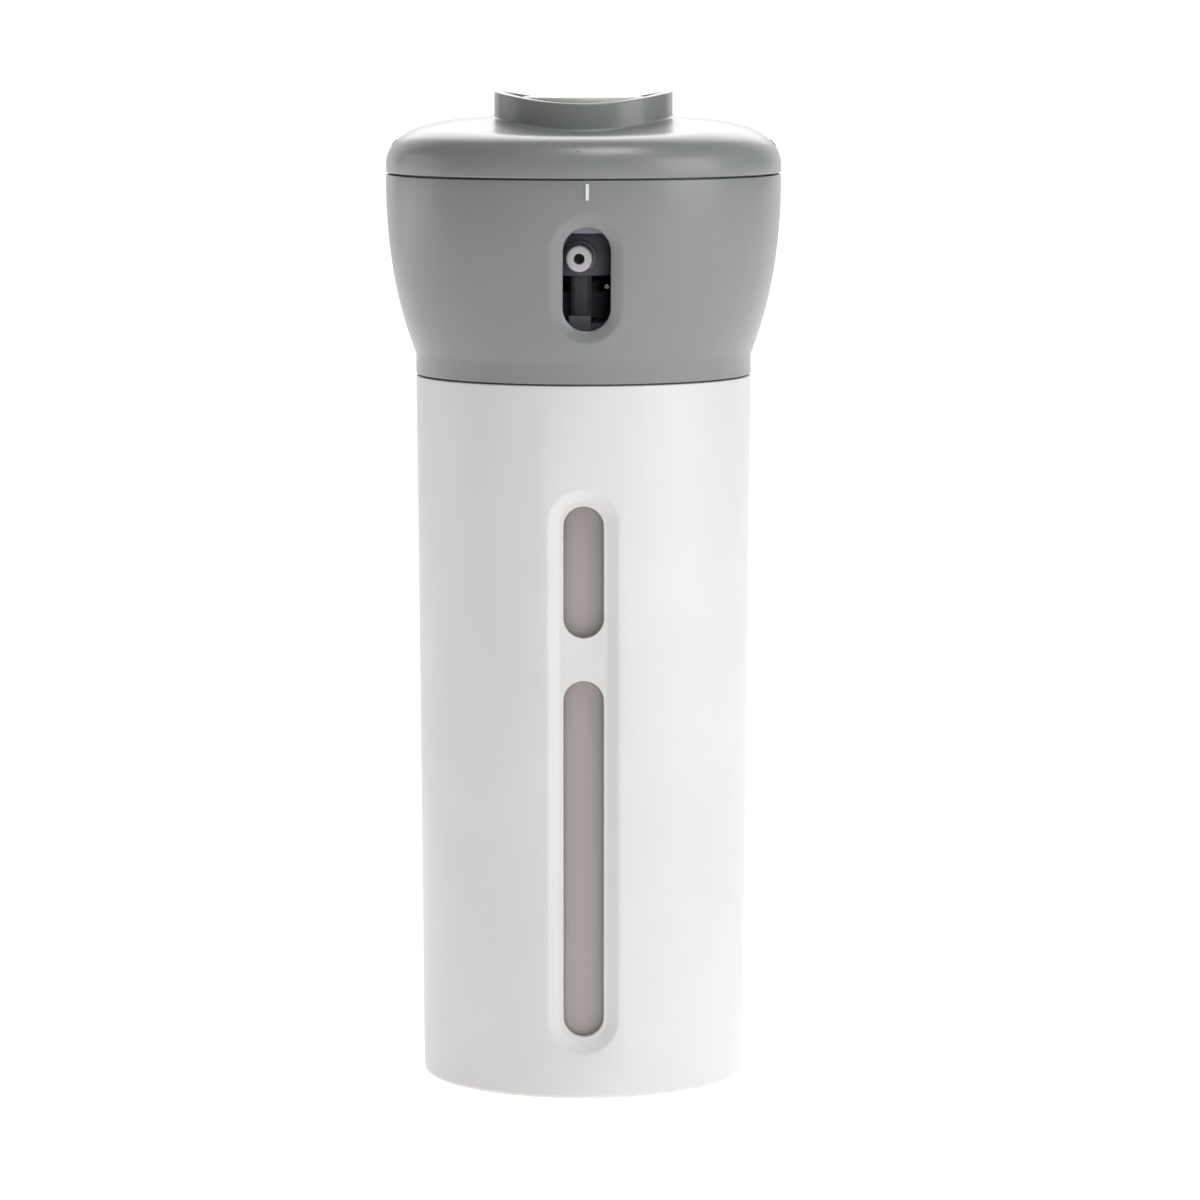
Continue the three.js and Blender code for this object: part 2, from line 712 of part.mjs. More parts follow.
// A bottle: its walls follow the quarter up to a shoulder that closes in on the round neck.
function bottle() {
  const steps = 2;
  const ringOf = (inset, z, blend = 0, round = neckRadius) => {
    const points = bottleOutline(inset).getPoints(steps);
    if (points[0].distanceTo(points.at(-1)) < 1e-6) points.pop();
    return points.map((p) => {
      const angle = Math.atan2(p.y + neckPitch, p.x);
      const x = THREE.MathUtils.lerp(p.x, round * Math.cos(angle), blend);
      const y = THREE.MathUtils.lerp(p.y, -neckPitch + round * Math.sin(angle), blend);
      return new THREE.Vector3(x, y, z);
    });
  };
  const shoulder = neckTopZ - bottleShoulderDrop;
  const neckFoot = neckTopZ - neckHeight;
  const rise = neckFoot - shoulder;
  const foot = bottleFootZ;
  const rings = [
    ringOf(bottleFootRound, foot),
    ringOf(bottleFootRound * 0.3, foot + bottleFootRound * 0.3),
    ringOf(0, foot + bottleFootRound),
    ringOf(0, shoulder),
    ringOf(0, shoulder + 0.3 * rise, 0.06),
    ringOf(0, shoulder + 0.62 * rise, 0.3),
    ringOf(0, shoulder + 0.9 * rise, 0.75),
    ringOf(0, neckFoot, 1),
    ringOf(0, neckTopZ, 1),
    ringOf(bottleWall, neckTopZ, 1, neckBore),
    ringOf(bottleWall, neckFoot - bottleWall, 1, neckBore),
    ringOf(bottleWall, shoulder + 0.62 * rise - bottleWall, 0.32, neckBore),
    ringOf(bottleWall, shoulder, 0.03, neckBore),
    ringOf(bottleWall, foot + bottleFootRound),
    ringOf(bottleFootRound, foot + bottleWall),
  ];
  return lofted(rings, (ring) => new THREE.Vector3(0, -neckPitch, ring[0].z));
}

// A closure: ribbed screw cap with a flange that seats under the turret plate.
function closure() {
  const grip = new THREE.Shape();
  for (let i = 0; i < 2 * closureRibs; i++) {
    const angle = (Math.PI * i) / closureRibs;
    const radius = i % 2 ? closureRadius - 0.35 : closureRadius;
    const point = [radius * Math.cos(angle), radius * Math.sin(angle)];
    if (i) grip.lineTo(...point);
    else grip.moveTo(...point);
  }
  grip.closePath();
  const flange = closureFlangeTopZ - closureFlangeHeight;
  const disc = [
    [0, flange],
    [closureRadius + closureFlange, flange],
    [closureRadius + closureFlange, closureFlangeTopZ],
    [0, closureFlangeTopZ],
  ];
  const cavity = [
    [0, closureZ - 1],
    [closureInner, closureZ - 1],
    [closureInner, closureTopZ - closureWall],
    [stemRadius + slideGap, closureTopZ - closureWall],
    [stemRadius + slideGap, closureTopZ + 1],
    [0, closureTopZ + 1],
  ];
  return solid(raised(grip, closureZ, closureTopZ))
    .add(solid(revolved(disc, 20)))
    .subtract(solid(revolved(cavity, 14)));
}

// A flat washer between two heights.
function washer(outer, inner, low, high) {
  const section = [
    [inner, low],
    [outer, low],
    [outer, high],
    [inner, high],
    [inner, low],
  ];
  return revolved(section, pumpSides);
}

// The pump's chamber: it hangs in the neck by its flange and narrows to the tube's socket.
function chamber() {
  const flangeTop = chamberFlangeZ + chamberFlange;
  const socket = chamberZ + dipTubeSocket;
  const section = [
    [dipTubeRadius + 0.1, chamberZ],
    [dipTubeRadius + 1.0, chamberZ],
    [dipTubeRadius + 1.0, socket],
    [chamberRadius, socket + 3],
    [chamberRadius, chamberFlangeZ],
    [neckRadius - 0.4, chamberFlangeZ],
    [neckRadius - 0.4, flangeTop],
    [chamberBore, flangeTop],
    [chamberBore, socket + throatHeight],
    [ballRadius - 0.3, socket + 0.6],
    [dipTubeRadius + 0.1 - 0.6, socket],
    [dipTubeRadius + 0.1, socket - 0.2],
    [dipTubeRadius + 0.1, chamberZ],
  ];
  return revolved(section, pumpSides);
}

// The stem with its piston, bored through for the lotion.
function stem() {
  const top = actuatorZ + nozzleRise + 1.2;
  const section = [
    [stemBore, pistonTopZ - pistonHeight],
    [pistonRadius, pistonTopZ - pistonHeight],
    [pistonRadius - 0.5, pistonTopZ - pistonHeight / 2],
    [pistonRadius, pistonTopZ],
    [stemRadius, pistonTopZ + 0.8],
    [stemRadius, top],
    [stemBore, top],
    [stemBore, pistonTopZ - pistonHeight],
  ];
  return revolved(section, pumpSides);
}

// The actuator: a domed head on the stem, with a spout that holds the nozzle.
function actuator() {
  const socketTop = nozzleZ + 1.5;
  const head = new THREE.Path();
  head.moveTo(stemRadius + slideGap / 2, actuatorZ + 1);
  head.lineTo(actuatorRadius - actuatorWall - 0.6, actuatorZ + 1);
  head.lineTo(actuatorRadius - actuatorWall, actuatorZ);
  head.lineTo(actuatorRadius, actuatorZ);
  head.lineTo(actuatorRadius, actuatorTopZ - 1);
  head.quadraticCurveTo(actuatorRadius, actuatorTopZ, actuatorRadius - 1.2, actuatorTopZ);
  head.lineTo(0, actuatorTopZ);
  head.lineTo(0, socketTop);
  head.lineTo(stemRadius + slideGap / 2, socketTop);
  head.lineTo(stemRadius + slideGap / 2, actuatorZ + 1);
  const mouth = neckPitch - nozzleReach + nozzleLength;
  const spout = upright([
    [0, stemRadius + 1],
    [spoutRadius, stemRadius + 1],
    [spoutRadius, -mouth + 1],
    [0, -mouth + 1],
  ]);
  const duct = upright([
    [0, 0],
    [nozzleBore, 0],
    [nozzleBore, -mouth - 1],
    [nozzleRadius + 0.15, -mouth - 1],
    [nozzleRadius + 0.15, -mouth + 3],
    [0, -mouth + 3],
  ]);
  return solid(revolved(head, 14, 2)).add(spout).subtract(duct);
}

// A turned solid that points along -Y at the nozzle's height. Its outline is radius and reach.
function upright(outline) {
  return solid(revolved(outline, pumpSides).rotateX(Math.PI / 2).translate(0, 0, nozzleZ));
}

// The white nozzle, from inside the spout to just behind the collar's slot.
function nozzle() {
  const tip = nozzleReach - neckPitch;
  const root = tip - nozzleLength - 0.7;
  const section = [
    [nozzleBore, root],
    [nozzleRadius, root],
    [nozzleRadius, tip - 0.4],
    [nozzleRadius - 0.4, tip],
    [nozzleBore, tip],
    [nozzleBore, root],
  ];
  return revolved(section, 14).rotateX(Math.PI / 2).translate(0, 0, nozzleZ);
}

// The dip tube, from the chamber's socket almost to the bottle's floor.
function dipTube() {
  const low = bottleFootZ + bottleWall + dipTubeClear;
  return washer(dipTubeRadius, dipTubeBore, low, chamberZ + dipTubeSocket - 0.6);
}

const group = new THREE.Group();

// Adds one named mesh.
function place(parent, name, shape, material) {
  const geometry = shape instanceof THREE.BufferGeometry ? shape : surface(shape);
  const mesh = new THREE.Mesh(geometry, material);
  mesh.name = name;
  parent.add(mesh);
}

place(group, "outer_sleeve", outerSleeve(), sleeveWhite);

const housing = new THREE.Group();
housing.rotation.z = radians(collarRestTurn);
group.add(housing);
place(housing, "collar", collar(), headGrey);
place(housing, "button", button(), buttonPale);
place(housing, "presser", presser(), innerDark);

const turning = new THREE.Group();
turning.rotation.z = radians(turretRestTurn);
group.add(turning);
place(turning, "lid", lid(), headGrey);
place(turning, "turret", turret(), innerDark);
place(
  turning,
  "return_spring",
  coilSpring(
    postPinRadius + 0.9 + returnSpringWire, returnSpringWire,
    postTopZ + seatGap, presserZ - seatGap, 5, 10,
  ),
  steel,
);

for (let i = 0; i < stations; i++) {
  const refill = new THREE.Group();
  refill.rotation.z = (2 * Math.PI * i) / stations;
  turning.add(refill);
  const number = i + 1;
  place(refill, `bottle_${number}`, bottle(), bottleClear);
  const pump = new THREE.Group();
  pump.position.y = -neckPitch;
  refill.add(pump);
  const gasketZ = neckTopZ + seatGap;
  place(pump, `closure_${number}`, closure(), innerDark);
  place(
    pump,
    `gasket_${number}`,
    washer(neckRadius - 0.2, neckBore - 0.6, gasketZ, gasketZ + gasketThickness),
    gasketWhite,
  );
  place(pump, `chamber_${number}`, chamber(), tubeClear);
  place(
    pump,
    `check_ball_${number}`,
    new THREE.SphereGeometry(ballRadius, 8, 5).rotateX(Math.PI / 2).translate(0, 0, ballSeatZ),
    steel,
  );
  place(
    pump,
    `pump_spring_${number}`,
    coilSpring(
      chamberBore - 0.3 - springWire, springWire,
      chamberZ + dipTubeSocket + throatHeight + seatGap, pistonTopZ - pistonHeight - seatGap, 4, 7,
    ),
    steel,
  );
  place(pump, `stem_${number}`, stem(), nozzleWhite);
  place(pump, `actuator_${number}`, actuator(), innerDark);
  place(pump, `nozzle_${number}`, nozzle(), nozzleWhite);
  place(pump, `dip_tube_${number}`, dipTube(), tubeClear);
}

export default group;
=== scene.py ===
import json
import logging
import math
from dataclasses import dataclass
from enum import Enum
from typing import Callable

import bpy
from mathutils import Matrix, Vector


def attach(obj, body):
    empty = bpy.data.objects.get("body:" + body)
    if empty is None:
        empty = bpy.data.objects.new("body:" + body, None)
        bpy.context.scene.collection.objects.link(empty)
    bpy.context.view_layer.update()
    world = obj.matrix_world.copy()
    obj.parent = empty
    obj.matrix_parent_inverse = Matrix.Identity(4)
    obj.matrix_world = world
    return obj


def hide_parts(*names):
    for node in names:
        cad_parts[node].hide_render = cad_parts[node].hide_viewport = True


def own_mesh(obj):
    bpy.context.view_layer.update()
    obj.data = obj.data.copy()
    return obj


MM = 0.001
LOG = logging.getLogger("dispenser")

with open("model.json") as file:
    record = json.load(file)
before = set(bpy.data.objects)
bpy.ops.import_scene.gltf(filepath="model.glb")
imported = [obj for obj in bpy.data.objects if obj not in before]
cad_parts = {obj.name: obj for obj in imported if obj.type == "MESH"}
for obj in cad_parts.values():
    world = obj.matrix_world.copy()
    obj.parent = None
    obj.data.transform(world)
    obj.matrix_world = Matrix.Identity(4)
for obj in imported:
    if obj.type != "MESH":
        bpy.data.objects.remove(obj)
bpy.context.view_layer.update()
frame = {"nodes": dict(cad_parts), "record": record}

# How far the collar and the carrier stand turned in the photograph, in degrees.
COLLAR_TURN = 1.0
CARRIER_TURN = -1.5
STATIONS = 4

Outline = list[tuple[float, float]]
Colour = tuple[float, float, float]
Piece = bpy.types.Object
Socket = bpy.types.NodeSocket


class NodeWork:
    """A material's node tree under construction."""

    def __init__(self, name: str) -> None:
        """Starts a material with a principled shader and the piece's own coordinates.

        Args:
            name: The material's name.
        """
        self.material = bpy.data.materials.new(name)
        self.material.use_nodes = True
        self.nodes = self.material.node_tree.nodes
        self.links = self.material.node_tree.links
        self.shader = self.nodes["Principled BSDF"]
        self.place = self.nodes.new("ShaderNodeTexCoord").outputs["Object"]

    def noise(self, scale: float, detail: float, place: Socket = None) -> Socket:
        """Adds a noise.

        Args:
            scale: How fine it is.
            detail: Its layers.
            place: Other coordinates than the piece's own.

        Returns:
            The noise's strength from 0 to 1.
        """
        noise = self.nodes.new("ShaderNodeTexNoise")
        noise.inputs["Scale"].default_value = scale
        noise.inputs["Detail"].default_value = detail
        self.links.new(place or self.place, noise.inputs["Vector"])
        return noise.outputs["Fac"]

    def tint(self, share: Socket, colour: Colour, spread: float, ends: tuple) -> None:
        """Varies the shader's colour.

        Args:
            share: What drives it.
            colour: The middle colour.
            spread: How far it goes to each side, as a share of the colour.
            ends: Where on `share` the darkest and the palest stand.
        """
        ramp = self.nodes.new("ShaderNodeValToRGB")
        for element, position, factor in zip(ramp.color_ramp.elements, ends, (1 - spread, 1 + spread)):
            element.color = (*(min(1.0, c * factor) for c in colour), 1)
            element.position = position
        self.links.new(share, ramp.inputs["Fac"])
        self.links.new(ramp.outputs["Color"], self.shader.inputs["Base Color"])

    def roughness(self, share: Socket, low: float, high: float) -> None:
        """Varies the shader's roughness.

        Args:
            share: What drives it.
            low: The smoothest.
            high: The roughest.
        """
        polish = self.nodes.new("ShaderNodeMapRange")
        polish.inputs["To Min"].default_value = low
        polish.inputs["To Max"].default_value = high
        self.links.new(share, polish.inputs["Value"])
        self.links.new(polish.outputs["Result"], self.shader.inputs["Roughness"])


class Grain(Enum):
    """How a moulded surface is textured."""

    SPARK_ERODED = "fine spark-eroded grain"
    POLISHED = "polished with faint flow marks"


@dataclass(frozen=True)
class MouldedPlastic:
    """An opaque moulded plastic with its grain, faint mottle and handling marks."""

    name: str
    colour: Colour
    roughness: float
    grain: Grain = Grain.SPARK_ERODED
    mottle: float = 0.03
    wear: float = 0.05
    coat: float = 0.0
    coat_roughness: float = 0.16

    def material(self) -> bpy.types.Material:
        """Builds the finish as nodes.

        Returns:
            The material.
        """
        work = NodeWork(self.name)
        work.shader.inputs["Coat Weight"].default_value = self.coat
        work.shader.inputs["Coat Roughness"].default_value = self.coat_roughness
        work.tint(work.noise(34.0, 3.0), self.colour, self.mottle, (0.3, 0.7))
        wear = work.noise(120.0, 5.0)
        work.roughness(wear, self.roughness - self.wear, self.roughness + self.wear)
        fine = self.grain is Grain.SPARK_ERODED
        bump = work.nodes.new("ShaderNodeBump")
        bump.inputs["Strength"].default_value = 0.10 if fine else 0.03
        bump.inputs["Distance"].default_value = 0.04 * MM
        work.links.new(work.noise(2600.0 if fine else 300.0, 2.0), bump.inputs["Height"])
        work.links.new(bump.outputs["Normal"], work.shader.inputs["Normal"])
        return work.material


@dataclass(frozen=True)
class FrostedPlastic:
    """A translucent plastic that scatters what is behind it."""

    name: str
    colour: Colour
    roughness: float
    transmission: float
    streak: float = 0.02
    frost: float = 0.04
    refraction: float = 1.38

    def material(self) -> bpy.types.Material:
        """Builds the finish as nodes.

        Returns:
            The material.
        """
        work = NodeWork(self.name)
        work.shader.inputs["Transmission Weight"].default_value = self.transmission
        work.shader.inputs["IOR"].default_value = self.refraction
        stretch = work.nodes.new("ShaderNodeMapping")
        stretch.inputs["Scale"].default_value = (1.0, 1.0, 0.25)
        work.links.new(work.place, stretch.inputs["Vector"])
        flow = work.noise(60.0, 2.0, stretch.outputs["Vector"])
        work.tint(flow, self.colour, self.streak, (0.0, 1.0))
        work.roughness(flow, self.roughness - self.frost, self.roughness + self.frost)
        return work.material


@dataclass(frozen=True)
class DrawnSteel:
    """Bright drawn wire and balls."""

    name: str = "spring_steel"
    colour: Colour = (0.52, 0.53, 0.55)

    def material(self) -> bpy.types.Material:
        """Builds the finish as nodes.

        Returns:
            The material.
        """
        work = NodeWork(self.name)
        work.shader.inputs["Base Color"].default_value = (*self.colour, 1)
        work.shader.inputs["Metallic"].default_value = 1.0
        work.roughness(work.noise(900.0, 2.0), 0.22, 0.38)
        return work.material


class Finishes:
    """The finishes of the dispenser, one material for each slot of the record and one for the index line."""

    def __init__(self) -> None:
        """Builds every material once."""
        polished = Grain.POLISHED
        recipes = [
            MouldedPlastic("sleeve_white", (0.69, 0.686, 0.68), 0.42, coat=0.1),
            MouldedPlastic("head_grey", (0.210, 0.220, 0.226), 0.34, coat=0.15),
            MouldedPlastic("button_pale", (0.62, 0.60, 0.56), 0.40),
            MouldedPlastic("inner_dark", (0.24, 0.24, 0.285), 0.45, polished),
            MouldedPlastic("nozzle_white", (0.60, 0.58, 0.61), 0.35, polished),
            MouldedPlastic("index_pale", (0.74, 0.74, 0.73), 0.4, polished),
            MouldedPlastic("gasket_white", (0.60, 0.60, 0.57), 0.7),
            FrostedPlastic("bottle_translucent", (0.475, 0.435, 0.43), 0.5, 0.2),
            FrostedPlastic("tube_translucent", (0.62, 0.62, 0.59), 0.35, 0.5),
            DrawnSteel(),
        ]
        self.materials = {recipe.name: recipe.material() for recipe in recipes}

    def dress(self, piece: Piece, finish: str) -> None:
        """Gives a piece one finish.

        Args:
            piece: The piece.
            finish: The finish's name.
        """
        piece.data.materials.clear()
        piece.data.materials.append(self.materials[finish])

    def dress_cad_nodes(self) -> None:
        """Gives every CAD node the finish of its slot in the record, and the stems the dark one as painted
        shade for the shadow inside the nozzle slot.
        """
        for part in frame["record"]["subparts"]:
            # Painted shade: the stems take the dark finish instead of their slot's own, to stand for the
            # shadow inside the nozzle slot.
            painted_shade_stem = part["node"].startswith("stem")
            finish = "inner_dark" if painted_shade_stem else part["material_slot"]
            self.dress(frame["nodes"][part["node"]], finish)

    def deliver(self, piece: Piece, node: str, body: str, slot: str, finish: str = "") -> None:
        """Dresses a piece and puts it in its node's place.

        Args:
            piece: The finished piece.
            node: The CAD node that it stands for.
            body: The CAD body that it rides on.
            slot: The record's material slot.
            finish: Another finish than the slot's.
        """
        self.dress(piece, finish or slot)
        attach(piece, body)
        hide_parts(node)
        LOG.info("%s: %d faces on %s", piece.name, len(piece.data.polygons), body)


class Bench:
    """The modelling operations that the pieces share."""

    @staticmethod
    def clear() -> None:
        """Leaves edit mode and deselects everything."""
        if bpy.context.object and bpy.context.object.mode != "OBJECT":
            bpy.ops.object.mode_set(mode="OBJECT")
        bpy.ops.object.select_all(action="DESELECT")

    @staticmethod
    def pick(obj: Piece) -> None:
        """Makes one object the only one selected.

        Args:
            obj: The object to work on.
        """
        Bench.clear()
        obj.select_set(True)
        bpy.context.view_layer.objects.active = obj

    @staticmethod
    def choose(obj: Piece, wanted: Callable[[bpy.types.MeshVertex], bool]) -> None:
        """Enters edit mode with only the points selected that pass a test.

        Args:
            obj: The object to work on.
            wanted: The test.
        """
        Bench.pick(obj)
        bpy.ops.object.mode_set(mode="EDIT")
        bpy.ops.mesh.select_mode(type="VERT")
        bpy.ops.mesh.select_all(action="DESELECT")
        bpy.ops.object.mode_set(mode="OBJECT")
        for vertex in obj.data.vertices:
            vertex.select = wanted(vertex)
        bpy.ops.object.mode_set(mode="EDIT")

    @staticmethod
    def extrude(x: float, y: float, z: float) -> None:
        """Extrudes what is selected and moves it.

        Args:
            x: How far along X, in metres.
            y: How far along Y.
            z: How far along Z.
        """
        bpy.ops.mesh.extrude_region_move(TRANSFORM_OT_translate={"value": (x, y, z)})

    @staticmethod
    def edit(obj: Piece) -> None:
        """Enters edit mode with every point of an object selected.

        Args:
            obj: The object to work on.
        """
        Bench.pick(obj)
        bpy.ops.object.mode_set(mode="EDIT")
        bpy.ops.mesh.select_all(action="SELECT")

    @staticmethod
    def turned(name: str, outline: Outline, steps: int, closed: bool = False) -> Piece:
        """Draws an outline by extruding a point, and spins it round Z.

        Args:
            name: The piece's name.
            outline: Radius and height in millimetres, running up the outside.
            steps: Faces round the piece.
            closed: Whether the outline joins up with its start instead of with the axis.

        Returns:
            The turned piece.
        """
        piece = Bench.drawn(name, outline)
        bpy.ops.object.mode_set(mode="OBJECT")
        if closed:
            ends = (0, len(piece.data.vertices) - 1)
            Bench.choose(piece, lambda vertex: vertex.index in ends)
            bpy.ops.mesh.edge_face_add()
        Bench.choose(piece, lambda vertex: True)
        bpy.ops.mesh.spin(
            steps=steps, angle=2 * math.pi, center=(0, 0, 0), axis=(0, 0, 1), use_auto_merge=False
        )
        bpy.ops.mesh.select_all(action="SELECT")
        bpy.ops.mesh.remove_doubles(threshold=2e-6)
        bpy.ops.mesh.delete_loose()
        return Bench.outward(piece)

    @staticmethod
    def drawn(name: str, outline: Outline) -> Piece:
        """Draws an open outline in X and Z by extruding a point.

        Args:
            name: The object's name.
            outline: Its points in millimetres.

        Returns:
            The drawn line, all of it selected in edit mode.
        """
        Bench.clear()
        start = Vector((outline[0][0], 0, outline[0][1])) * MM
        bpy.ops.mesh.primitive_plane_add(size=MM, location=start)
        piece = bpy.context.object
        piece.name = name
        bpy.ops.object.transform_apply(location=True, rotation=True, scale=True)
        Bench.choose(piece, lambda vertex: True)
        bpy.ops.mesh.merge(type="CENTER")
        for (r0, z0), (r1, z1) in zip(outline, outline[1:]):
            Bench.extrude((r1 - r0) * MM, 0, (z1 - z0) * MM)
        bpy.ops.mesh.select_all(action="SELECT")
        return piece

    @staticmethod
    def plate(name: str, outline: Outline, thickness: float) -> Piece:
        """A plate of an outline in X and Z, centred on the plane where Y is 0.

        Args:
            name: The plate's name.
            outline: Its corners in millimetres.
            thickness: Its thickness in millimetres.

        Returns:
            The plate.
        """
        piece = Bench.drawn(name, outline)
        bpy.ops.mesh.edge_face_add()
        bpy.ops.mesh.select_all(action="SELECT")
        bpy.ops.transform.translate(value=(0, -thickness / 2 * MM, 0))
        Bench.extrude(0, thickness * MM, 0)
        return Bench.outward(piece)

    @staticmethod
    def cut(piece: Piece, tool: Piece) -> None:
        """Cuts a tool out of a piece and removes the tool.

        Args:
            piece: The piece to cut.
            tool: The cutting shape.
        """
        Bench.pick(piece)
        bpy.ops.object.modifier_add(type="BOOLEAN")
        modifier = piece.modifiers[-1]
        modifier.operation = "DIFFERENCE"
        modifier.solver = "EXACT"
        modifier.object = tool
        bpy.ops.object.modifier_apply(modifier=modifier.name)
        bpy.data.objects.remove(tool)

    @staticmethod
    def join(piece: Piece, others: list[Piece]) -> None:
        """Joins other meshes into a piece.

        Args:
            piece: The piece that keeps its name.
            others: The meshes that go into it.
        """
        Bench.clear()
        for other in others:
            other.select_set(True)
        piece.select_set(True)
        bpy.context.view_layer.objects.active = piece
        bpy.ops.object.join()

    @staticmethod
    def bar(name: str, low: Vector, high: Vector, rounding: float) -> Piece:
        """A block between two corners with rounded edges.

        Args:
            name: The block's name.
            low: Its lowest corner in millimetres.
            high: Its highest corner in millimetres.
            rounding: The radius of its edges in millimetres.

        Returns:
            The block.
        """
        Bench.clear()
        bpy.ops.mesh.primitive_cube_add(size=1, location=(low + high) / 2 * MM, scale=(high - low) * MM)
        block = bpy.context.object
        block.name = name
        bpy.ops.object.transform_apply(location=True, rotation=True, scale=True)
        Bench.edit(block)
        bpy.ops.mesh.bevel(offset=rounding * MM, segments=3, affect="EDGES")
        bpy.ops.object.mode_set(mode="OBJECT")
        return block

    @staticmethod
    def stack(name: str, corners: int, rings: int) -> Piece:
        """A disc of radius 1 extruded upwards, a metre between its rings, for a piece to fit.

        Args:
            name: The piece's name.
            corners: Points round each ring.
            rings: How many rings.

        Returns:
            The stack.
        """
        Bench.clear()
        bpy.ops.mesh.primitive_circle_add(vertices=corners, radius=1, fill_type="NGON")
        piece = bpy.context.object
        piece.name = name
        Bench.edit(piece)
        for _ in range(rings - 1):
            Bench.extrude(0, 0, 1)
        bpy.ops.object.mode_set(mode="OBJECT")
        return piece

    @staticmethod
    def outward(piece: Piece) -> Piece:
        """Turns every face of a closed piece outwards.

        Args:
            piece: The piece.

        Returns:
            The same piece.
        """
        Bench.edit(piece)
        bpy.ops.mesh.normals_make_consistent(inside=False)
        bpy.ops.object.mode_set(mode="OBJECT")
        return piece

    @staticmethod
    def turned_by(obj: Piece, degrees: float) -> Piece:
        """Turns a mesh round the dispenser's axis, leaving its object at the origin.

        Args:
            obj: The mesh to turn.
            degrees: How far.

        Returns:
            The same object.
        """
        return Bench.placed(obj, Matrix.Rotation(math.radians(degrees), 4, "Z"))

    @staticmethod
    def out_front(obj: Piece, pitch: float) -> Piece:
        """Moves a mesh forwards from the dispenser's axis, leaving its object at the origin.

        Args:
            obj: The mesh to move.
            pitch: How far, in millimetres.

        Returns:
            The same object.
        """
        return Bench.placed(obj, Matrix.Translation((0, -pitch * MM, 0)))

    @staticmethod
    def placed(obj: Piece, matrix: Matrix) -> Piece:
        """Moves a mesh by a matrix, leaving its object at the origin.

        Args:
            obj: The mesh to move.
            matrix: The move, in metres.

        Returns:
            The same object.
        """
        obj.data.transform(matrix)
        obj.data.update()
        return obj

    @staticmethod
    def copied(obj: Piece, name: str) -> Piece:
        """Copies a piece with a mesh of its own.

        Args:
            obj: The piece to copy.
            name: The copy's name.

        Returns:
            The copy.
        """
        twin = obj.copy()
        twin.data = obj.data.copy()
        twin.name = name
        bpy.context.collection.objects.link(twin)
        return twin

    @staticmethod
    def smooth(piece: Piece, degrees: float = 32) -> Piece:
        """Smooths the shading between faces that meet at less than an angle.

        Args:
            piece: The piece to shade.
            degrees: The angle.

        Returns:
            The same piece.
        """
        Bench.pick(piece)
        bpy.ops.object.shade_smooth_by_angle(angle=math.radians(degrees))
        return piece


def curve(start: tuple, pull: tuple, end: tuple, steps: int) -> Outline:
    """Points on a bend that leaves its start towards `pull` and reaches its end from there.

    Args:
        start: Where the bend starts.
        pull: The corner that it rounds.
        end: Where the bend ends.
        steps: Its number of segments.

    Returns:
        The points after the start, up to the end.
    """
    points = []
    for i in range(1, steps + 1):
        t = i / steps
        near, mid, far = (1 - t) ** 2, 2 * t * (1 - t), t * t
        points.append(tuple(s * near + p * mid + e * far for s, p, e in zip(start, pull, end)))
    return points


def rounded(outline: Outline, radii: dict[int, float], steps: int = 4) -> Outline:
    """Rounds chosen corners of an outline.

    Args:
        outline: The outline's points.
        radii: How far back from each corner, by its place in the outline, the rounding starts.
        steps: Segments in each rounding.

    Returns:
        The outline with its corners rounded.
    """
    points: Outline = []
    last = len(outline) - 1
    for i, corner in enumerate(outline):
        if i not in radii or i in (0, last):
            points.append(corner)
            continue
        here = Vector(corner)
        before = (Vector(outline[i - 1]) - here).normalized() * radii[i]
        after = (Vector(outline[i + 1]) - here).normalized() * radii[i]
        start, end = tuple(here + before), tuple(here + after)
        points.append(start)
        points.extend(curve(start, corner, end, steps))
    return points


@dataclass
class SlotCutter:
    """An upright slot with round ends that follows a round wall at -Y, with shaped sides."""

    half_width: float
    low: float
    high: float
    wall_radius: Callable[[float], float]
    sides: Outline  # each ring's widening and depth, from outside the wall inwards

    def cut(self, piece: Piece) -> None:
        """Extrudes a stretched circle through its rings, fits them to the wall and cuts with it.

        Args:
            piece: The piece to cut.
        """
        Bench.clear()
        middle = (self.low + self.high) / 2
        straight = (self.high - self.low) / 2 - self.half_width
        bpy.ops.mesh.primitive_circle_add(
            vertices=64, radius=self.half_width * MM, fill_type="NGON",
            location=(0, 0, middle * MM), rotation=(math.pi / 2, 0, 0),
        )
        tool = bpy.context.object
        bpy.ops.object.transform_apply(location=True, rotation=True, scale=True)
        for way in (1, -1):
            Bench.choose(tool, lambda vertex: (vertex.co.z - middle * MM) * way > 1e-6)
            bpy.ops.transform.translate(value=(0, 0, way * straight * MM))
            bpy.ops.object.mode_set(mode="OBJECT")
        reach = (straight + self.half_width * 0.15) * MM
        Bench.choose(tool, lambda vertex: abs(vertex.co.z - middle * MM) < reach)
        bpy.ops.mesh.subdivide(number_cuts=15)
        bpy.ops.mesh.select_all(action="SELECT")
        for _ in self.sides[1:]:
            Bench.extrude(0, 1, 0)
        bpy.ops.object.mode_set(mode="OBJECT")
        self._fit(tool)
        Bench.edit(tool)
        bpy.ops.mesh.quads_convert_to_tris()
        Bench.cut(piece, Bench.outward(tool))

    def _fit(self, tool: Piece) -> None:
        """Widens each ring and sets it at its depth in the wall.

        Args:
            tool: The extruded cutter, a metre between its rings.
        """
        for vertex in tool.data.vertices:
            ring = round(vertex.co.y)
            widen, depth = self.sides[ring]
            x, z = vertex.co.x / MM, vertex.co.z / MM
            centre = min(max(z, self.low + self.half_width), self.high - self.half_width)
            out = Vector((x, z - centre))
            grown = out * ((self.half_width + widen) / max(out.length, 1e-6))
            x, z = grown.x, centre + grown.y
            radius = self.wall_radius(z)
            y = -math.sqrt(radius**2 - x**2) + depth
            vertex.co = Vector((x, y, z)) * MM


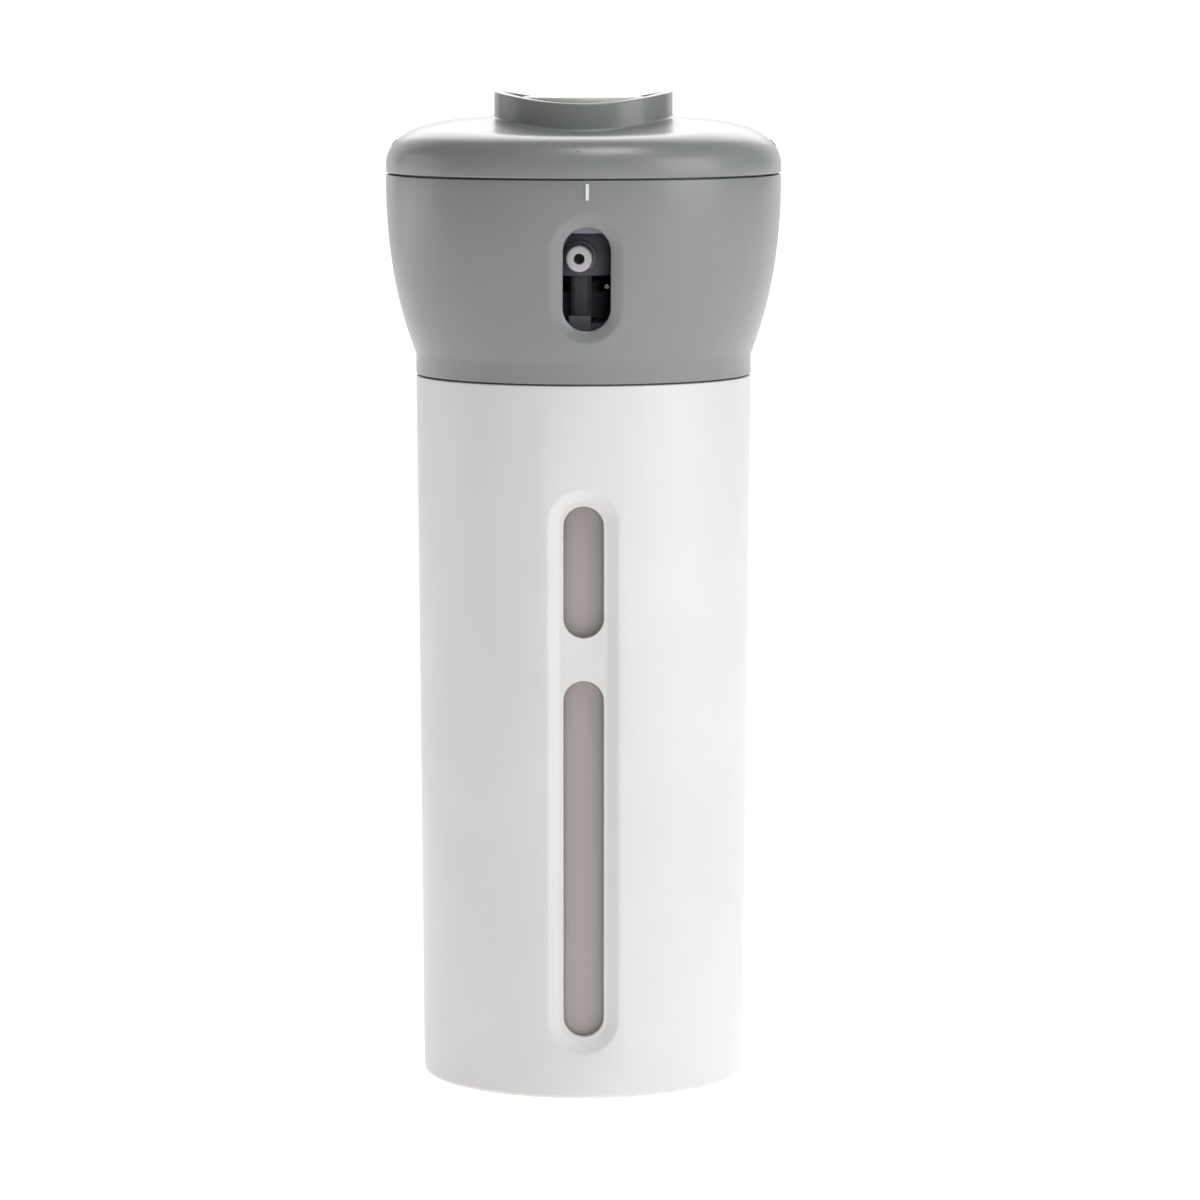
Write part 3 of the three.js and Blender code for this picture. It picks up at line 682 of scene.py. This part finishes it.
@dataclass
class OuterSleeve:
    """The white sleeve with its sight channel."""

    foot_radius: float = 30.75
    top_radius: float = 31.85
    height: float = 134.3
    wall: float = 1.8
    floor: float = 2.6
    foot_recess: float = 1.0
    foot_ring: float = 26.35
    spigot_radius: float = 29.55
    spigot_wall: float = 1.4
    spigot_top: float = 139.7
    wall_step: float = 2.6
    channel_low: float = 8.9
    channel_high: float = 114.8
    channel_half_width: float = 6.3
    channel_depth: float = 1.5
    channel_slope: float = 1.9
    land: float = 3.0
    windows: tuple = ((11.6, 79.1), (87.1, 111.8))
    window_half_width: float = 3.75
    pad_margin: float = 0.8
    pad_ramp: float = 1.5

    def radius_at(self, z: float) -> float:
        """Finds the outside radius.

        Args:
            z: The height in millimetres.

        Returns:
            The radius in millimetres.
        """
        return self.foot_radius + (self.top_radius - self.foot_radius) * z / self.height

    def pad_heights(self) -> list[float]:
        """Finds where the thicker wall behind the channel starts and ends.

        Returns:
            The heights from the top down, in millimetres.
        """
        low, high = self.channel_low - self.pad_margin, self.channel_high + self.pad_margin
        return [high + self.pad_ramp, high, low, low - self.pad_ramp]

    def build(self) -> Piece:
        """Models the sleeve.

        Returns:
            The finished mesh.
        """
        step = self.height - self.wall_step
        inner_low = self.radius_at(self.floor) - self.wall
        bore = self.spigot_radius - self.spigot_wall
        outline = [
            (0, self.foot_recess), (self.foot_ring, self.foot_recess), (self.foot_ring, 0),
            (self.radius_at(0), 0), (self.top_radius, self.height), (self.spigot_radius, self.height),
            (self.spigot_radius, self.spigot_top), (bore, self.spigot_top), (bore, step + 1.2),
            (self.radius_at(step) - self.wall, step - 1),
            *[(self.radius_at(z) - self.wall, z) for z in self.pad_heights()],
            (inner_low, self.floor), (0, self.floor),
        ]
        outline = rounded(outline, {1: 0.3, 2: 0.3, 3: 1.0, 4: 0.3, 5: 0.3, 6: 0.5, 7: 0.3, 14: 1.2}, 5)
        piece = Bench.turned("sleeve_shell", outline, 180)
        LOG.info("wall behind the channel: %d points brought in", self._thin_band(piece))
        edge = self.channel_half_width - self.channel_slope
        sides = [
            (self.channel_slope + 0.75, -1.5), (self.channel_slope + 0.70, -0.02),
            (self.channel_slope + 0.30, 0.05), (self.channel_slope, 0.20),
            (0.35, self.channel_depth - 0.22), (0.05, self.channel_depth - 0.05),
            (-0.3, self.channel_depth),
        ]
        low, high = self.channel_low + self.channel_slope, self.channel_high - self.channel_slope
        SlotCutter(edge, low, high, self.radius_at, sides).cut(piece)
        lip = [(0.6, 0.6), (0.22, self.channel_depth), (0.06, self.channel_depth + 0.15)]
        through = [(0.0, self.channel_depth + 0.4), (0.0, self.land + 1.5)]
        for low, high in self.windows:
            SlotCutter(self.window_half_width, low, high, self.radius_at, lip + through).cut(piece)
        return Bench.smooth(piece)

    def _thin_band(self, piece: Piece) -> int:
        """Brings the inner wall in behind the channel, so that the channel has a floor.

        Args:
            piece: The turned sleeve.

        Returns:
            How many points moved.
        """
        moved = 0
        reach = self.channel_half_width + self.pad_margin
        high, low = self.pad_heights()[1:3]
        for vertex in piece.data.vertices:
            x, y, z = (c / MM for c in vertex.co)
            radius = math.hypot(x, y)
            bore = self.radius_at(z) - self.wall
            if y < 0 and abs(radius - bore) < 0.05 and low - 0.1 < z < high + 0.1:
                share = min(1.0, max(0.0, (reach + self.pad_ramp - abs(x)) / self.pad_ramp))
                goal = bore - (self.land - self.wall) * share
                vertex.co.x *= goal / radius
                vertex.co.y *= goal / radius
                moved += share > 0
        return moved


@dataclass
class Collar:
    """The flared grey housing with its nozzle slot and index rib."""

    low: float = 134.6
    top: float = 172.4
    lip_radius: float = 31.85
    radius: float = 37.5
    wall: float = 2.0
    flare_low: float = 138.3
    flare_pull: float = 152.366
    flare_high: float = 169.754
    ledge_bore: float = 28.5
    ledge: tuple = (140.0, 141.5)
    slot_low: float = 144.5
    slot_high: float = 163.7
    slot_half_width: float = 4.4
    slot_bevel: float = 1.9
    slot_depth: float = 1.3
    index_height: float = 3.0
    index_width: float = 0.6
    index_proud: float = 0.25
    index_sunk: float = 0.8
    index_drop: float = 0.6
    rib_angle: float = 24.0
    rib_thickness: float = 1.5
    rib_reach: float = 32.5
    rib_root: float = 34.8
    rib_low: float = 150.2
    rib_high: float = 168.6

    def flare(self, inset: float, steps: int) -> Outline:
        """The flare from the lip upwards, set in from the outside.

        Args:
            inset: How far inside the outer face, in millimetres.
            steps: Its number of segments.

        Returns:
            The points from the lip to the full width.
        """
        start = (self.lip_radius - inset, self.flare_low)
        pull = (self.radius - 0.2 - inset, self.flare_pull)
        end = (self.radius - inset, self.flare_high)
        return [start, *curve(start, pull, end, steps)]

    def radius_at(self, z: float) -> float:
        """Finds the outside radius.

        Args:
            z: The height in millimetres.

        Returns:
            The radius in millimetres.
        """
        points = self.flare(0, 64)
        if z <= points[0][1]:
            return points[0][0]
        for (r0, z0), (r1, z1) in zip(points, points[1:]):
            if z <= z1:
                return r0 + (r1 - r0) * (z - z0) / (z1 - z0)
        return self.radius

    def build(self) -> Piece:
        """Models the collar.

        Returns:
            The finished mesh.
        """
        lip_bore = self.lip_radius - self.wall
        outer = [(lip_bore, self.low), (self.lip_radius - 0.3, self.low)]
        outer += curve(outer[-1], (self.lip_radius, self.low), (self.lip_radius, self.low + 0.3), 4)
        outer += self.flare(0, 36)
        outer += [(self.radius, self.top - 0.3)]
        outer += curve(outer[-1], (self.radius, self.top), (self.radius - 0.3, self.top), 4)
        inner = [(self.radius - self.wall, self.top)]
        inner += [p for p in reversed(self.flare(self.wall, 24)) if p[1] > self.ledge[1] + 0.6]
        root = inner[-1][0] - 0.15
        inner += [
            (root, self.ledge[1]), (self.ledge_bore, self.ledge[1]), (self.ledge_bore, self.ledge[0]),
            (lip_bore, self.ledge[0]),
        ]
        piece = Bench.turned("collar_shell", outer + inner, 192, closed=True)
        bevel = self.slot_bevel
        sides = [
            (bevel + 0.75, -1.5), (bevel + 0.70, -0.02), (bevel + 0.32, 0.05), (bevel, 0.20),
            (0.30, self.slot_depth - 0.25), (0.08, self.slot_depth), (0.0, self.slot_depth + 0.4),
            (0.0, self.wall + 2.2),
        ]
        SlotCutter(self.slot_half_width, self.slot_low, self.slot_high, self.radius_at, sides).cut(piece)
        Bench.smooth(piece)
        Bench.join(piece, self._guides())
        return Bench.turned_by(piece, COLLAR_TURN)

    def build_index(self) -> Piece:
        """Models the raised index line under the seam.

        Returns:
            The finished mesh.
        """
        half, top = self.index_width / 2, self.top - self.index_drop
        low = Vector((-half, -self.radius - self.index_proud, top - self.index_height))
        high = Vector((half, -self.radius + self.index_sunk, top))
        return Bench.turned_by(Bench.smooth(Bench.bar("index_line", low, high, 0.12), 40), COLLAR_TURN)

    def _guides(self) -> list[Piece]:
        """The two ribs inside that keep the presser behind the slot.

        Returns:
            The ribs, one each side of the slot.
        """
        ribs = []
        for side in (-1, 1):
            low = Vector((-self.rib_thickness / 2, -self.rib_root, self.rib_low))
            high = Vector((self.rib_thickness / 2, -self.rib_reach, self.rib_high))
            rib = Bench.bar(f"guide_{side}", low, high, 0.25)
            ribs.append(Bench.turned_by(rib, side * self.rib_angle))
        return ribs


@dataclass
class Lid:
    """The domed lid with its saddle-shaped finger ring."""

    low: float = 172.7
    radius: float = 37.5
    wall: float = 2.0
    spigot_radius: float = 35.2
    spigot_wall: float = 1.6
    spigot_low: float = 169.2
    shoulder_radius: float = 31.5
    shoulder_height: float = 8.4
    shoulder_pull: float = 6.05
    side_height: float = 1.7
    dome_foot: float = 17.5
    dome_height: float = 10.5
    dome_fullness: tuple = (27.0, 10.2)
    saddle_dip: float = 2.4
    saddle_reach: tuple = (24.0, 36.5)
    ring_radius: float = 16.9
    ring_bore: float = 14.9
    ring_height: float = 15.3
    ring_dip: float = 2.0
    guide_low: float = 174.2
    mark_width: float = 0.6
    mark_proud: float = 0.14
    mark_sunk: float = 0.5

    def shoulder_bend(self, steps: int) -> Outline:
        """The rounded shoulder from the side up to the dome.

        Args:
            steps: Its number of segments.

        Returns:
            The points from the top of the side to the shoulder.
        """
        start = (self.radius, self.low + self.side_height)
        pull = (self.radius - 0.1, self.low + self.shoulder_pull)
        end = (self.shoulder_radius, self.low + self.shoulder_height)
        return [start, *curve(start, pull, end, steps)]

    def build(self) -> Piece:
        """Models the lid.

        Returns:
            The finished mesh.
        """
        low, radius = self.low, self.radius
        dome = (self.dome_foot, low + self.dome_height)
        crown = (self.dome_fullness[0], low + self.dome_fullness[1])
        rim = low + self.ring_height
        outline = [(self.spigot_radius, low), (radius - 0.4, low)]
        outline += curve(outline[-1], (radius, low), (radius, low + 0.4), 4)
        outline += self.shoulder_bend(20)
        outline += curve(outline[-1], crown, dome, 14)
        outline += curve(dome, (self.ring_radius, dome[1]), (self.ring_radius, dome[1] + 0.6), 5)
        outline += [(self.ring_radius, rim - 0.45)]
        outline += curve(outline[-1], (self.ring_radius, rim), (self.ring_radius - 0.45, rim), 4)
        outline += [(self.ring_bore + 0.45, rim)]
        outline += curve(outline[-1], (self.ring_bore, rim), (self.ring_bore, rim - 0.45), 4)
        outline += [
            (self.ring_bore, self.guide_low), (self.ring_radius - 0.3, self.guide_low),
            (self.ring_radius - 0.3, low + self.dome_height - self.wall),
            (crown[0], crown[1] - self.wall - 0.4),
            (self.shoulder_radius - 0.9, low + self.shoulder_height - self.wall),
        ]
        inner = self.spigot_radius - self.spigot_wall
        pull = (inner, low + self.shoulder_height - self.wall - 0.7)
        outline += curve(outline[-1], pull, (inner, low + 1), 6)
        outline += [
            (inner, self.spigot_low), (self.spigot_radius - 0.5, self.spigot_low),
            (self.spigot_radius, self.spigot_low + 0.5),
        ]
        piece = Bench.turned("lid_shell", outline, 192, closed=True)
        self._saddle(piece, rim)
        Bench.smooth(piece)
        Bench.join(piece, self._marks())
        return Bench.turned_by(piece, CARRIER_TURN)

    def _saddle(self, piece: Piece, rim: float) -> None:
        """Lowers the dome and the ring at the front and back, as a hand's grip does.

        Args:
            piece: The turned lid.
            rim: The height of the ring's rim at its two ears.
        """
        near, far = self.saddle_reach
        under, foot = self.low + self.side_height, self.low + self.dome_height
        for vertex in piece.data.vertices:
            x, y, z = (c / MM for c in vertex.co)
            radius = math.hypot(x, y)
            if z < under or radius < self.ring_bore - 0.1 or radius > far:
                continue
            share = min(1.0, (far - radius) / (far - near))
            low_dip = self.saddle_dip * share * share * (3 - 2 * share)
            up = min(1.0, max(0.0, (z - foot) / (rim - foot))) if radius < self.dome_foot else 0.0
            dip = low_dip + (self.ring_dip - low_dip) * up
            vertex.co.z -= dip * (y / radius) ** 2 * MM

    def _marks(self) -> list[Piece]:
        """The raised marks on the middle of the shoulder, one for each bottle.

        Returns:
            The marks.
        """
        middle = self.shoulder_bend(24)[9:16]
        outer, inner = [], []
        for before, here, after in zip(middle, middle[1:], middle[2:]):
            along = (Vector(after) - Vector(before)).normalized()
            out = Vector((along.y, -along.x))
            outer.append(tuple(Vector(here) + out * self.mark_proud))
            inner.append(tuple(Vector(here) - out * self.mark_sunk))
        marks = []
        for i in range(STATIONS):
            mark = Bench.smooth(Bench.plate(f"mark_{i}", outer + inner[::-1], self.mark_width), 40)
            marks.append(Bench.turned_by(mark, 360 * i / STATIONS - 90))
        return marks


@dataclass
class Button:
    """The pale push button with its raised, dished pad."""

    lid_low: float = 172.7
    radius: float = 14.6
    wall: float = 1.4
    pad_radius: float = 11.8
    pad_height: float = 14.3
    pad_rise: float = 2.8
    dish: float = 0.6
    flange: float = 1.0
    flange_low: float = 172.5
    flange_top: float = 173.9
    stem_radius: float = 3.9
    stem_low: float = 165.4

    def build(self) -> Piece:
        """Models the button.

        Returns:
            The finished mesh.
        """
        pad = self.lid_low + self.pad_height
        deck = pad - self.pad_rise
        skirt = self.radius - self.wall
        outline = [
            (0, self.stem_low), (self.stem_radius, self.stem_low), (self.stem_radius, deck - self.wall),
            (skirt, deck - self.wall), (skirt, self.flange_low),
            (self.radius + self.flange, self.flange_low), (self.radius + self.flange, self.flange_top),
            (self.radius, self.flange_top), (self.radius, deck), (self.pad_radius, deck),
            (self.pad_radius, pad), (self.pad_radius - 1.6, pad),
        ]
        radii = {1: 0.3, 2: 0.6, 3: 0.4, 4: 0.2, 5: 0.2, 6: 0.2, 8: 0.5, 9: 0.35, 10: 0.7}
        outline = rounded(outline, radii, 5)
        outline += curve(outline[-1], (self.pad_radius / 2, pad - self.dish), (0, pad - self.dish), 12)
        return Bench.smooth(Bench.turned("button_cap", outline, 128))


@dataclass
class RefillBottle:
    """A quarter-round refill bottle, one of four."""

    pitch: float = 15.5
    radius: float = 27.4
    side_gap: float = 0.45
    outer_corner: float = 3.4
    inner_corner: float = 7.0
    wall: float = 1.0
    foot: float = 2.9
    foot_round: float = 2.2
    shoulder: float = 122.9
    neck_foot: float = 130.9
    neck_top: float = 141.9
    neck_radius: float = 7.6
    neck_bore: float = 6.6
    count: int = 72

    def outline(self, inset: float) -> list[Vector]:
        """The quarter-round outline as seen from above, facing -Y.

        Args:
            inset: How far inside the outer face, in millimetres.

        Returns:
            Its points, evenly spread in direction round the neck's axis.
        """
        side = math.pi / 4
        corner = max(self.outer_corner - inset, 0.4)
        inner = max(self.inner_corner - inset, 0.4)
        gap, radius = self.side_gap + inset, self.radius - inset
        reach = math.sqrt((radius - corner) ** 2 - (gap + corner) ** 2)
        lean = -math.pi / 2 + side - math.atan2(gap + corner, reach)
        cx, cy = (radius - corner) * math.cos(lean), (radius - corner) * math.sin(lean)
        inner_y = -(gap + inner) / math.sin(side)
        arcs = [
            (cx, cy, corner, lean, side),
            (0, inner_y, inner, side, math.pi - side),
            (-cx, cy, corner, math.pi - side, math.pi - lean),
            (0, 0, radius, -math.pi - lean, lean),
        ]
        dense = []
        for x, y, r, start, end in arcs:
            for i in range(25):
                angle = start + (end - start) * i / 24
                dense.append(Vector((x + r * math.cos(angle), y + r * math.sin(angle))))
        return self._spread(dense)

    def _spread(self, dense: list[Vector]) -> list[Vector]:
        """Points on a closed outline at even directions from the neck's axis.

        Args:
            dense: The outline, closely spaced.

        Returns:
            As many points as each ring has.
        """
        axis = Vector((0, -self.pitch))
        points = []
        for k in range(self.count):
            angle = 2 * math.pi * k / self.count
            way = Vector((math.cos(angle), math.sin(angle)))
            best = 0.0
            for a, b in zip(dense, dense[1:] + dense[:1]):
                edge, start = b - a, a - axis
                cross = way.x * edge.y - way.y * edge.x
                if abs(cross) < 1e-9:
                    continue
                t = (start.x * edge.y - start.y * edge.x) / cross
                s = (start.x * way.y - start.y * way.x) / cross
                if t > 0 and -1e-6 <= s <= 1 + 1e-6:
                    best = max(best, t)
            points.append(axis + way * best)
        return points

    def rings(self) -> list[tuple[float, float, float, float]]:
        """Lists the bottle's rings, up the outside and down the inside.

        Returns:
            Each ring's inset, height, share of the round neck and that neck's radius.
        """
        rise = self.neck_foot - self.shoulder
        rows = []
        for i in range(5):
            angle = math.pi / 2 * i / 4
            inset = self.foot_round * (1 - math.sin(angle))
            rows.append((inset, self.foot + self.foot_round * (1 - math.cos(angle)), 0, self.neck_radius))
        rows.append((0, self.shoulder - 1, 0, self.neck_radius))
        steps = [i / 8 for i in range(1, 9)]
        shoulder = [(self.shoulder + rise * t, t * t * (3 - 2 * t)) for t in steps]
        rows += [(0, z, blend, self.neck_radius) for z, blend in shoulder]
        rows.append((0, self.neck_top, 1, self.neck_radius))
        rows.append((self.wall, self.neck_top, 1, self.neck_bore))
        rows += [(self.wall, z - self.wall, blend, self.neck_bore) for z, blend in reversed(shoulder)]
        rows.append((self.wall, self.shoulder - 2, 0, self.neck_bore))
        rows.append((self.wall, self.foot + self.foot_round, 0, self.neck_bore))
        rows.append((self.foot_round, self.foot + self.wall, 0, self.neck_bore))
        return rows

    def build(self) -> Piece:
        """Extrudes a disc through the bottle's rings and fits each to its form.

        Returns:
            The bottle that faces -Y.
        """
        rows = self.rings()
        piece = Bench.stack("bottle", self.count, len(rows))
        outlines = {inset: self.outline(inset) for inset in {row[0] for row in rows}}
        for vertex in piece.data.vertices:
            inset, z, blend, neck = rows[round(vertex.co.z)]
            angle = math.atan2(vertex.co.y, vertex.co.x) % (2 * math.pi)
            k = round(angle / (2 * math.pi) * self.count) % self.count
            flat = outlines[inset][k]
            round_point = Vector((neck * math.cos(angle), -self.pitch + neck * math.sin(angle)))
            x, y = flat.lerp(round_point, blend)
            vertex.co = Vector((x, y, z)) * MM
        return Bench.smooth(Bench.outward(piece), 40)


@dataclass
class PumpHead:
    """The nozzle, actuator and closure of one pump, modelled at the front."""

    pitch: float = 15.5
    nozzle_z: float = 157.8
    nozzle_radius: float = 2.45
    nozzle_bore: float = 1.0
    nozzle_tip: float = 31.5
    nozzle_length: float = 9.7
    actuator_radius: float = 6.2
    actuator_low: float = 154.1
    actuator_top: float = 162.3
    actuator_wall: float = 1.2
    spout_radius: float = 3.1
    spout_reach: float = 8.0
    stem_bore: float = 2.15
    closure_low: float = 132.5
    closure_top: float = 145.5
    closure_radius: float = 9.2
    closure_inner: float = 8.0
    closure_wall: float = 1.2
    flange: float = 0.8
    flange_low: float = 140.2
    flange_top: float = 141.5
    ribs: int = 36

    def nozzle(self) -> Piece:
        """Models the nozzle along -Y.

        Returns:
            The nozzle.
        """
        tip, root = self.nozzle_tip - self.pitch, self.nozzle_tip - self.pitch - self.nozzle_length
        outline = [
            (self.nozzle_bore, root), (self.nozzle_radius, root), (self.nozzle_radius, tip),
            (self.nozzle_bore, tip),
        ]
        outline = rounded(outline, {2: 0.5}, 6)
        outline = [*outline[:-1], (self.nozzle_bore + 0.12, tip), (self.nozzle_bore, tip - 0.12)]
        return self._facing(Bench.smooth(Bench.turned("nozzle", outline, 48, closed=True)))

    def _facing(self, piece: Piece) -> Piece:
        """Lays a piece turned round Z along -Y at the nozzle's height.

        Args:
            piece: The piece.

        Returns:
            The same piece.
        """
        lay = Matrix.Rotation(math.pi / 2, 4, "X")
        move = Matrix.Translation(Vector((0, -self.pitch, self.nozzle_z)) * MM)
        return Bench.placed(piece, move @ lay)

    def actuator(self) -> Piece:
        """Models the actuator and its spout.

        Returns:
            The actuator.
        """
        low, top, radius = self.actuator_low, self.actuator_top, self.actuator_radius
        outline = [
            (self.stem_bore, low + 1), (radius - self.actuator_wall, low + 1),
            (radius - self.actuator_wall, low), (radius, low), (radius, top), (0, top),
            (0, self.nozzle_z + 1.5), (self.stem_bore, self.nozzle_z + 1.5),
        ]
        outline = rounded(outline, {2: 0.3, 3: 0.4, 4: 1.4}, 6)
        head = Bench.turned("actuator", outline, 64, closed=True)
        reach, bore = self.spout_reach, self.nozzle_radius + 0.05
        ring = [(bore, 3.0), (self.spout_radius, 3.0), (self.spout_radius, reach), (bore, reach)]
        spout = Bench.turned("spout", rounded(ring, {2: 0.4}, 4), 40, closed=True)
        Bench.out_front(Bench.smooth(head), self.pitch)
        Bench.join(head, [self._facing(Bench.smooth(spout))])
        return head

    def closure(self) -> Piece:
        """Models the ribbed screw closure.

        Returns:
            The closure.
        """
        outer = self.closure_radius - 0.3
        outline = [
            (self.closure_inner, self.closure_low), (outer, self.closure_low), (outer, self.flange_low),
            (self.closure_radius + self.flange, self.flange_low),
            (self.closure_radius + self.flange, self.flange_top), (outer, self.flange_top),
            (outer, self.closure_top), (self.stem_bore + 0.15, self.closure_top),
            (self.stem_bore + 0.15, self.closure_top - self.closure_wall),
            (self.closure_inner, self.closure_top - self.closure_wall),
        ]
        outline = rounded(outline, {1: 0.3, 3: 0.25, 4: 0.25, 6: 0.7}, 4)
        cap = Bench.smooth(Bench.turned("closure", outline, 72, closed=True))
        half, height = 0.32, self.flange_low - self.closure_low
        low = Vector((-half, -self.closure_radius, self.closure_low + 0.6))
        high = Vector((half, -outer + 0.5, self.closure_low + height - 0.2))
        pattern = Bench.bar("rib", low, high, 0.1)
        ribs = []
        for i in range(self.ribs):
            rib = Bench.copied(pattern, f"rib_{i}")
            ribs.append(Bench.turned_by(rib, 360 * i / self.ribs))
        bpy.data.objects.remove(pattern)
        Bench.join(cap, ribs)
        return Bench.out_front(cap, self.pitch)


@dataclass
class CoilSpring:
    """A coil spring of round wire."""

    radius: float
    wire: float
    low: float
    high: float
    turns: int
    keep: float  # its share of length at the joint's limit
    off_axis: float = 0.0
    steps: int = 20
    sides: int = 10

    def build(self, name: str, turn: float) -> Piece:
        """Extrudes a disc along the coil and fits each ring to the wire.

        Args:
            name: The piece's name.
            turn: Where the spring stands round the dispenser's axis, in degrees from the front.

        Returns:
            The spring.
        """
        rings = self.turns * self.steps
        piece = Bench.stack(name, self.sides, rings + 1)
        rise = (self.high - self.low - 2 * self.wire) / rings
        for vertex in piece.data.vertices:
            ring = round(vertex.co.z)
            way = 2 * math.pi * ring / self.steps
            out = self.radius + self.wire * vertex.co.x
            height = self.low + self.wire + rise * ring + self.wire * vertex.co.y
            vertex.co = Vector((out * math.cos(way), out * math.sin(way), height)) * MM
        Bench.smooth(Bench.outward(piece), 50)
        return Bench.turned_by(Bench.out_front(piece, self.off_axis), turn)

    def fit(self, node: str, turn: float, finishes: Finishes) -> None:
        """Puts the spring in its node's place.

        Args:
            node: The CAD node that it stands for.
            turn: Where it stands round the dispenser's axis, in degrees from the front.
            finishes: The dispenser's finishes.
        """
        piece = self.build(f"{node}_coil", turn)
        finishes.deliver(piece, node, "turret", "spring_steel")
        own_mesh(piece)


@dataclass
class Refills:
    """The four refill bottles and their pumps, spaced evenly round the turret."""

    bottle: RefillBottle
    pump: PumpHead

    def build(self, finishes: Finishes) -> None:
        """Models each piece once at the front and copies it to every station.

        Args:
            finishes: The dispenser's finishes.
        """
        kinds = [
            ("bottle", self.bottle.build, "turret", "bottle_translucent"),
            ("closure", self.pump.closure, "turret", "inner_dark"),
            ("actuator", self.pump.actuator, "pump", "inner_dark"),
            ("nozzle", self.pump.nozzle, "pump", "nozzle_white"),
        ]
        turns = [CARRIER_TURN + 360 * i / STATIONS for i in range(STATIONS)]
        for kind, model, owner, slot in kinds:
            pattern = model()
            for number, turn in enumerate(turns, 1):
                twin = Bench.turned_by(Bench.copied(pattern, f"{kind}_{number}_shell"), turn)
                body = owner if owner == "turret" else f"pump_{number}"
                finishes.deliver(twin, f"{kind}_{number}", body, slot)
            bpy.data.objects.remove(pattern)
        spring = CoilSpring(3.3, 0.4, 121.1, 129.1, 4, 0.03, self.pump.pitch)
        for number, turn in enumerate(turns, 1):
            spring.fit(f"pump_spring_{number}", turn, finishes)
        lifting = CoilSpring(4.45, 0.45, 150.5, 162.3, 5, 0.31)
        lifting.fit("return_spring", CARRIER_TURN, finishes)


@dataclass
class Studio:
    """A plain pale floor, soft lights and the camera at the photograph's angle."""

    distance: float = 1.0
    height: float = 0.207
    centre_height: float = 0.0909
    frame_px: float = 1200.0
    focal_px: float = 5253.0
    axis_px: float = 583.5
    lights: tuple = (
        ("key_right", (1.05, -0.50, 0.50), 0.8, 6.0, True),
        ("overhead", (0.14, -0.28, 1.0), 0.4, 3.3, True),
        ("edge_left", (-1.0, 0.40, 0.25), 0.7, 1.6, True),
        ("back_wide", (0.04, 1.0, 0.86), 0.95, 6.4, True),
        ("front_fill", (0.10, -0.95, 0.24), 0.2, 0.9, False),
    )

    def build(self) -> None:
        """Sets up the floor, lights, world and camera."""
        self._floor()
        self._world()
        for light in self.lights:
            self._light(*light)
        self._camera()
        bpy.context.scene.view_settings.view_transform = "Standard"

    def _floor(self) -> None:
        """Adds the pale sweep that the dispenser stands on."""
        Bench.clear()
        bpy.ops.mesh.primitive_plane_add(size=8, location=(0, 0, 0))
        floor = bpy.context.object
        floor.name = "floor"
        Bench.choose(floor, lambda vertex: vertex.co.y > 0)
        Bench.extrude(0, 0.5, 0.2)
        Bench.extrude(0, 0.2, 4)
        bpy.ops.object.mode_set(mode="OBJECT")
        mat = bpy.data.materials.new("floor_pale")
        mat.use_nodes = True
        shader = mat.node_tree.nodes["Principled BSDF"]
        shader.inputs["Base Color"].default_value = (0.62, 0.61, 0.605, 1)
        shader.inputs["Roughness"].default_value = 0.9
        shader.inputs["Emission Color"].default_value = (1.0, 0.985, 0.975, 1)
        shader.inputs["Emission Strength"].default_value = 0.86
        floor.data.materials.append(mat)

    def _world(self) -> None:
        """Fills the surroundings with even pale light."""
        world = bpy.data.worlds.new("studio")
        world.use_nodes = True
        back = world.node_tree.nodes["Background"]
        back.inputs["Color"].default_value = (1.0, 0.99, 0.985, 1)
        back.inputs["Strength"].default_value = 0.14
        bpy.context.scene.world = world

    def _light(self, name: str, place: tuple, size: float, watts: float, mirrored: bool) -> None:
        """Adds a soft square light that faces the dispenser.

        Args:
            name: The light's name.
            place: Where it stands, in metres.
            size: Its width.
            watts: Its power.
            mirrored: Whether shiny surfaces mirror it.
        """
        data = bpy.data.lights.new(name, "AREA")
        data.shape = "SQUARE"
        data.size = size
        data.energy = watts
        lamp = bpy.data.objects.new(name, data)
        bpy.context.collection.objects.link(lamp)
        lamp.location = place
        aim = Vector((0, 0, 0.11)) - Vector(place)
        lamp.rotation_euler = aim.to_track_quat("-Z", "Y").to_euler()
        lamp.visible_glossy = mirrored

    def _camera(self) -> None:
        """Adds the camera that the photograph was matched with."""
        data = bpy.data.cameras.new("camera")
        data.sensor_width = 36.0
        data.sensor_fit = "HORIZONTAL"
        data.lens = self.focal_px / self.frame_px * data.sensor_width
        data.shift_x = (self.frame_px / 2 - self.axis_px) / self.frame_px
        camera = bpy.data.objects.new("camera", data)
        bpy.context.collection.objects.link(camera)
        camera.location = (0, -self.distance, self.height)
        aim = Vector((0, 0, self.centre_height)) - camera.location
        camera.rotation_euler = aim.to_track_quat("-Z", "Y").to_euler()
        bpy.context.scene.camera = camera


def main() -> None:
    """Builds the dispenser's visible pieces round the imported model."""
    logging.basicConfig(level=logging.INFO, format="%(name)s: %(message)s")
    finishes = Finishes()
    finishes.dress_cad_nodes()
    Studio().build()
    finishes.deliver(OuterSleeve().build(), "outer_sleeve", "sleeve", "sleeve_white")
    housing = Collar()
    finishes.deliver(housing.build(), "collar", "head", "head_grey")
    finishes.deliver(housing.build_index(), "collar", "head", "nozzle_white", "index_pale")
    finishes.deliver(Lid().build(), "lid", "turret", "head_grey")
    finishes.deliver(Button().build(), "button", "press", "button_pale")
    Refills(RefillBottle(), PumpHead()).build(finishes)


if __name__ == "__main__":
    main()
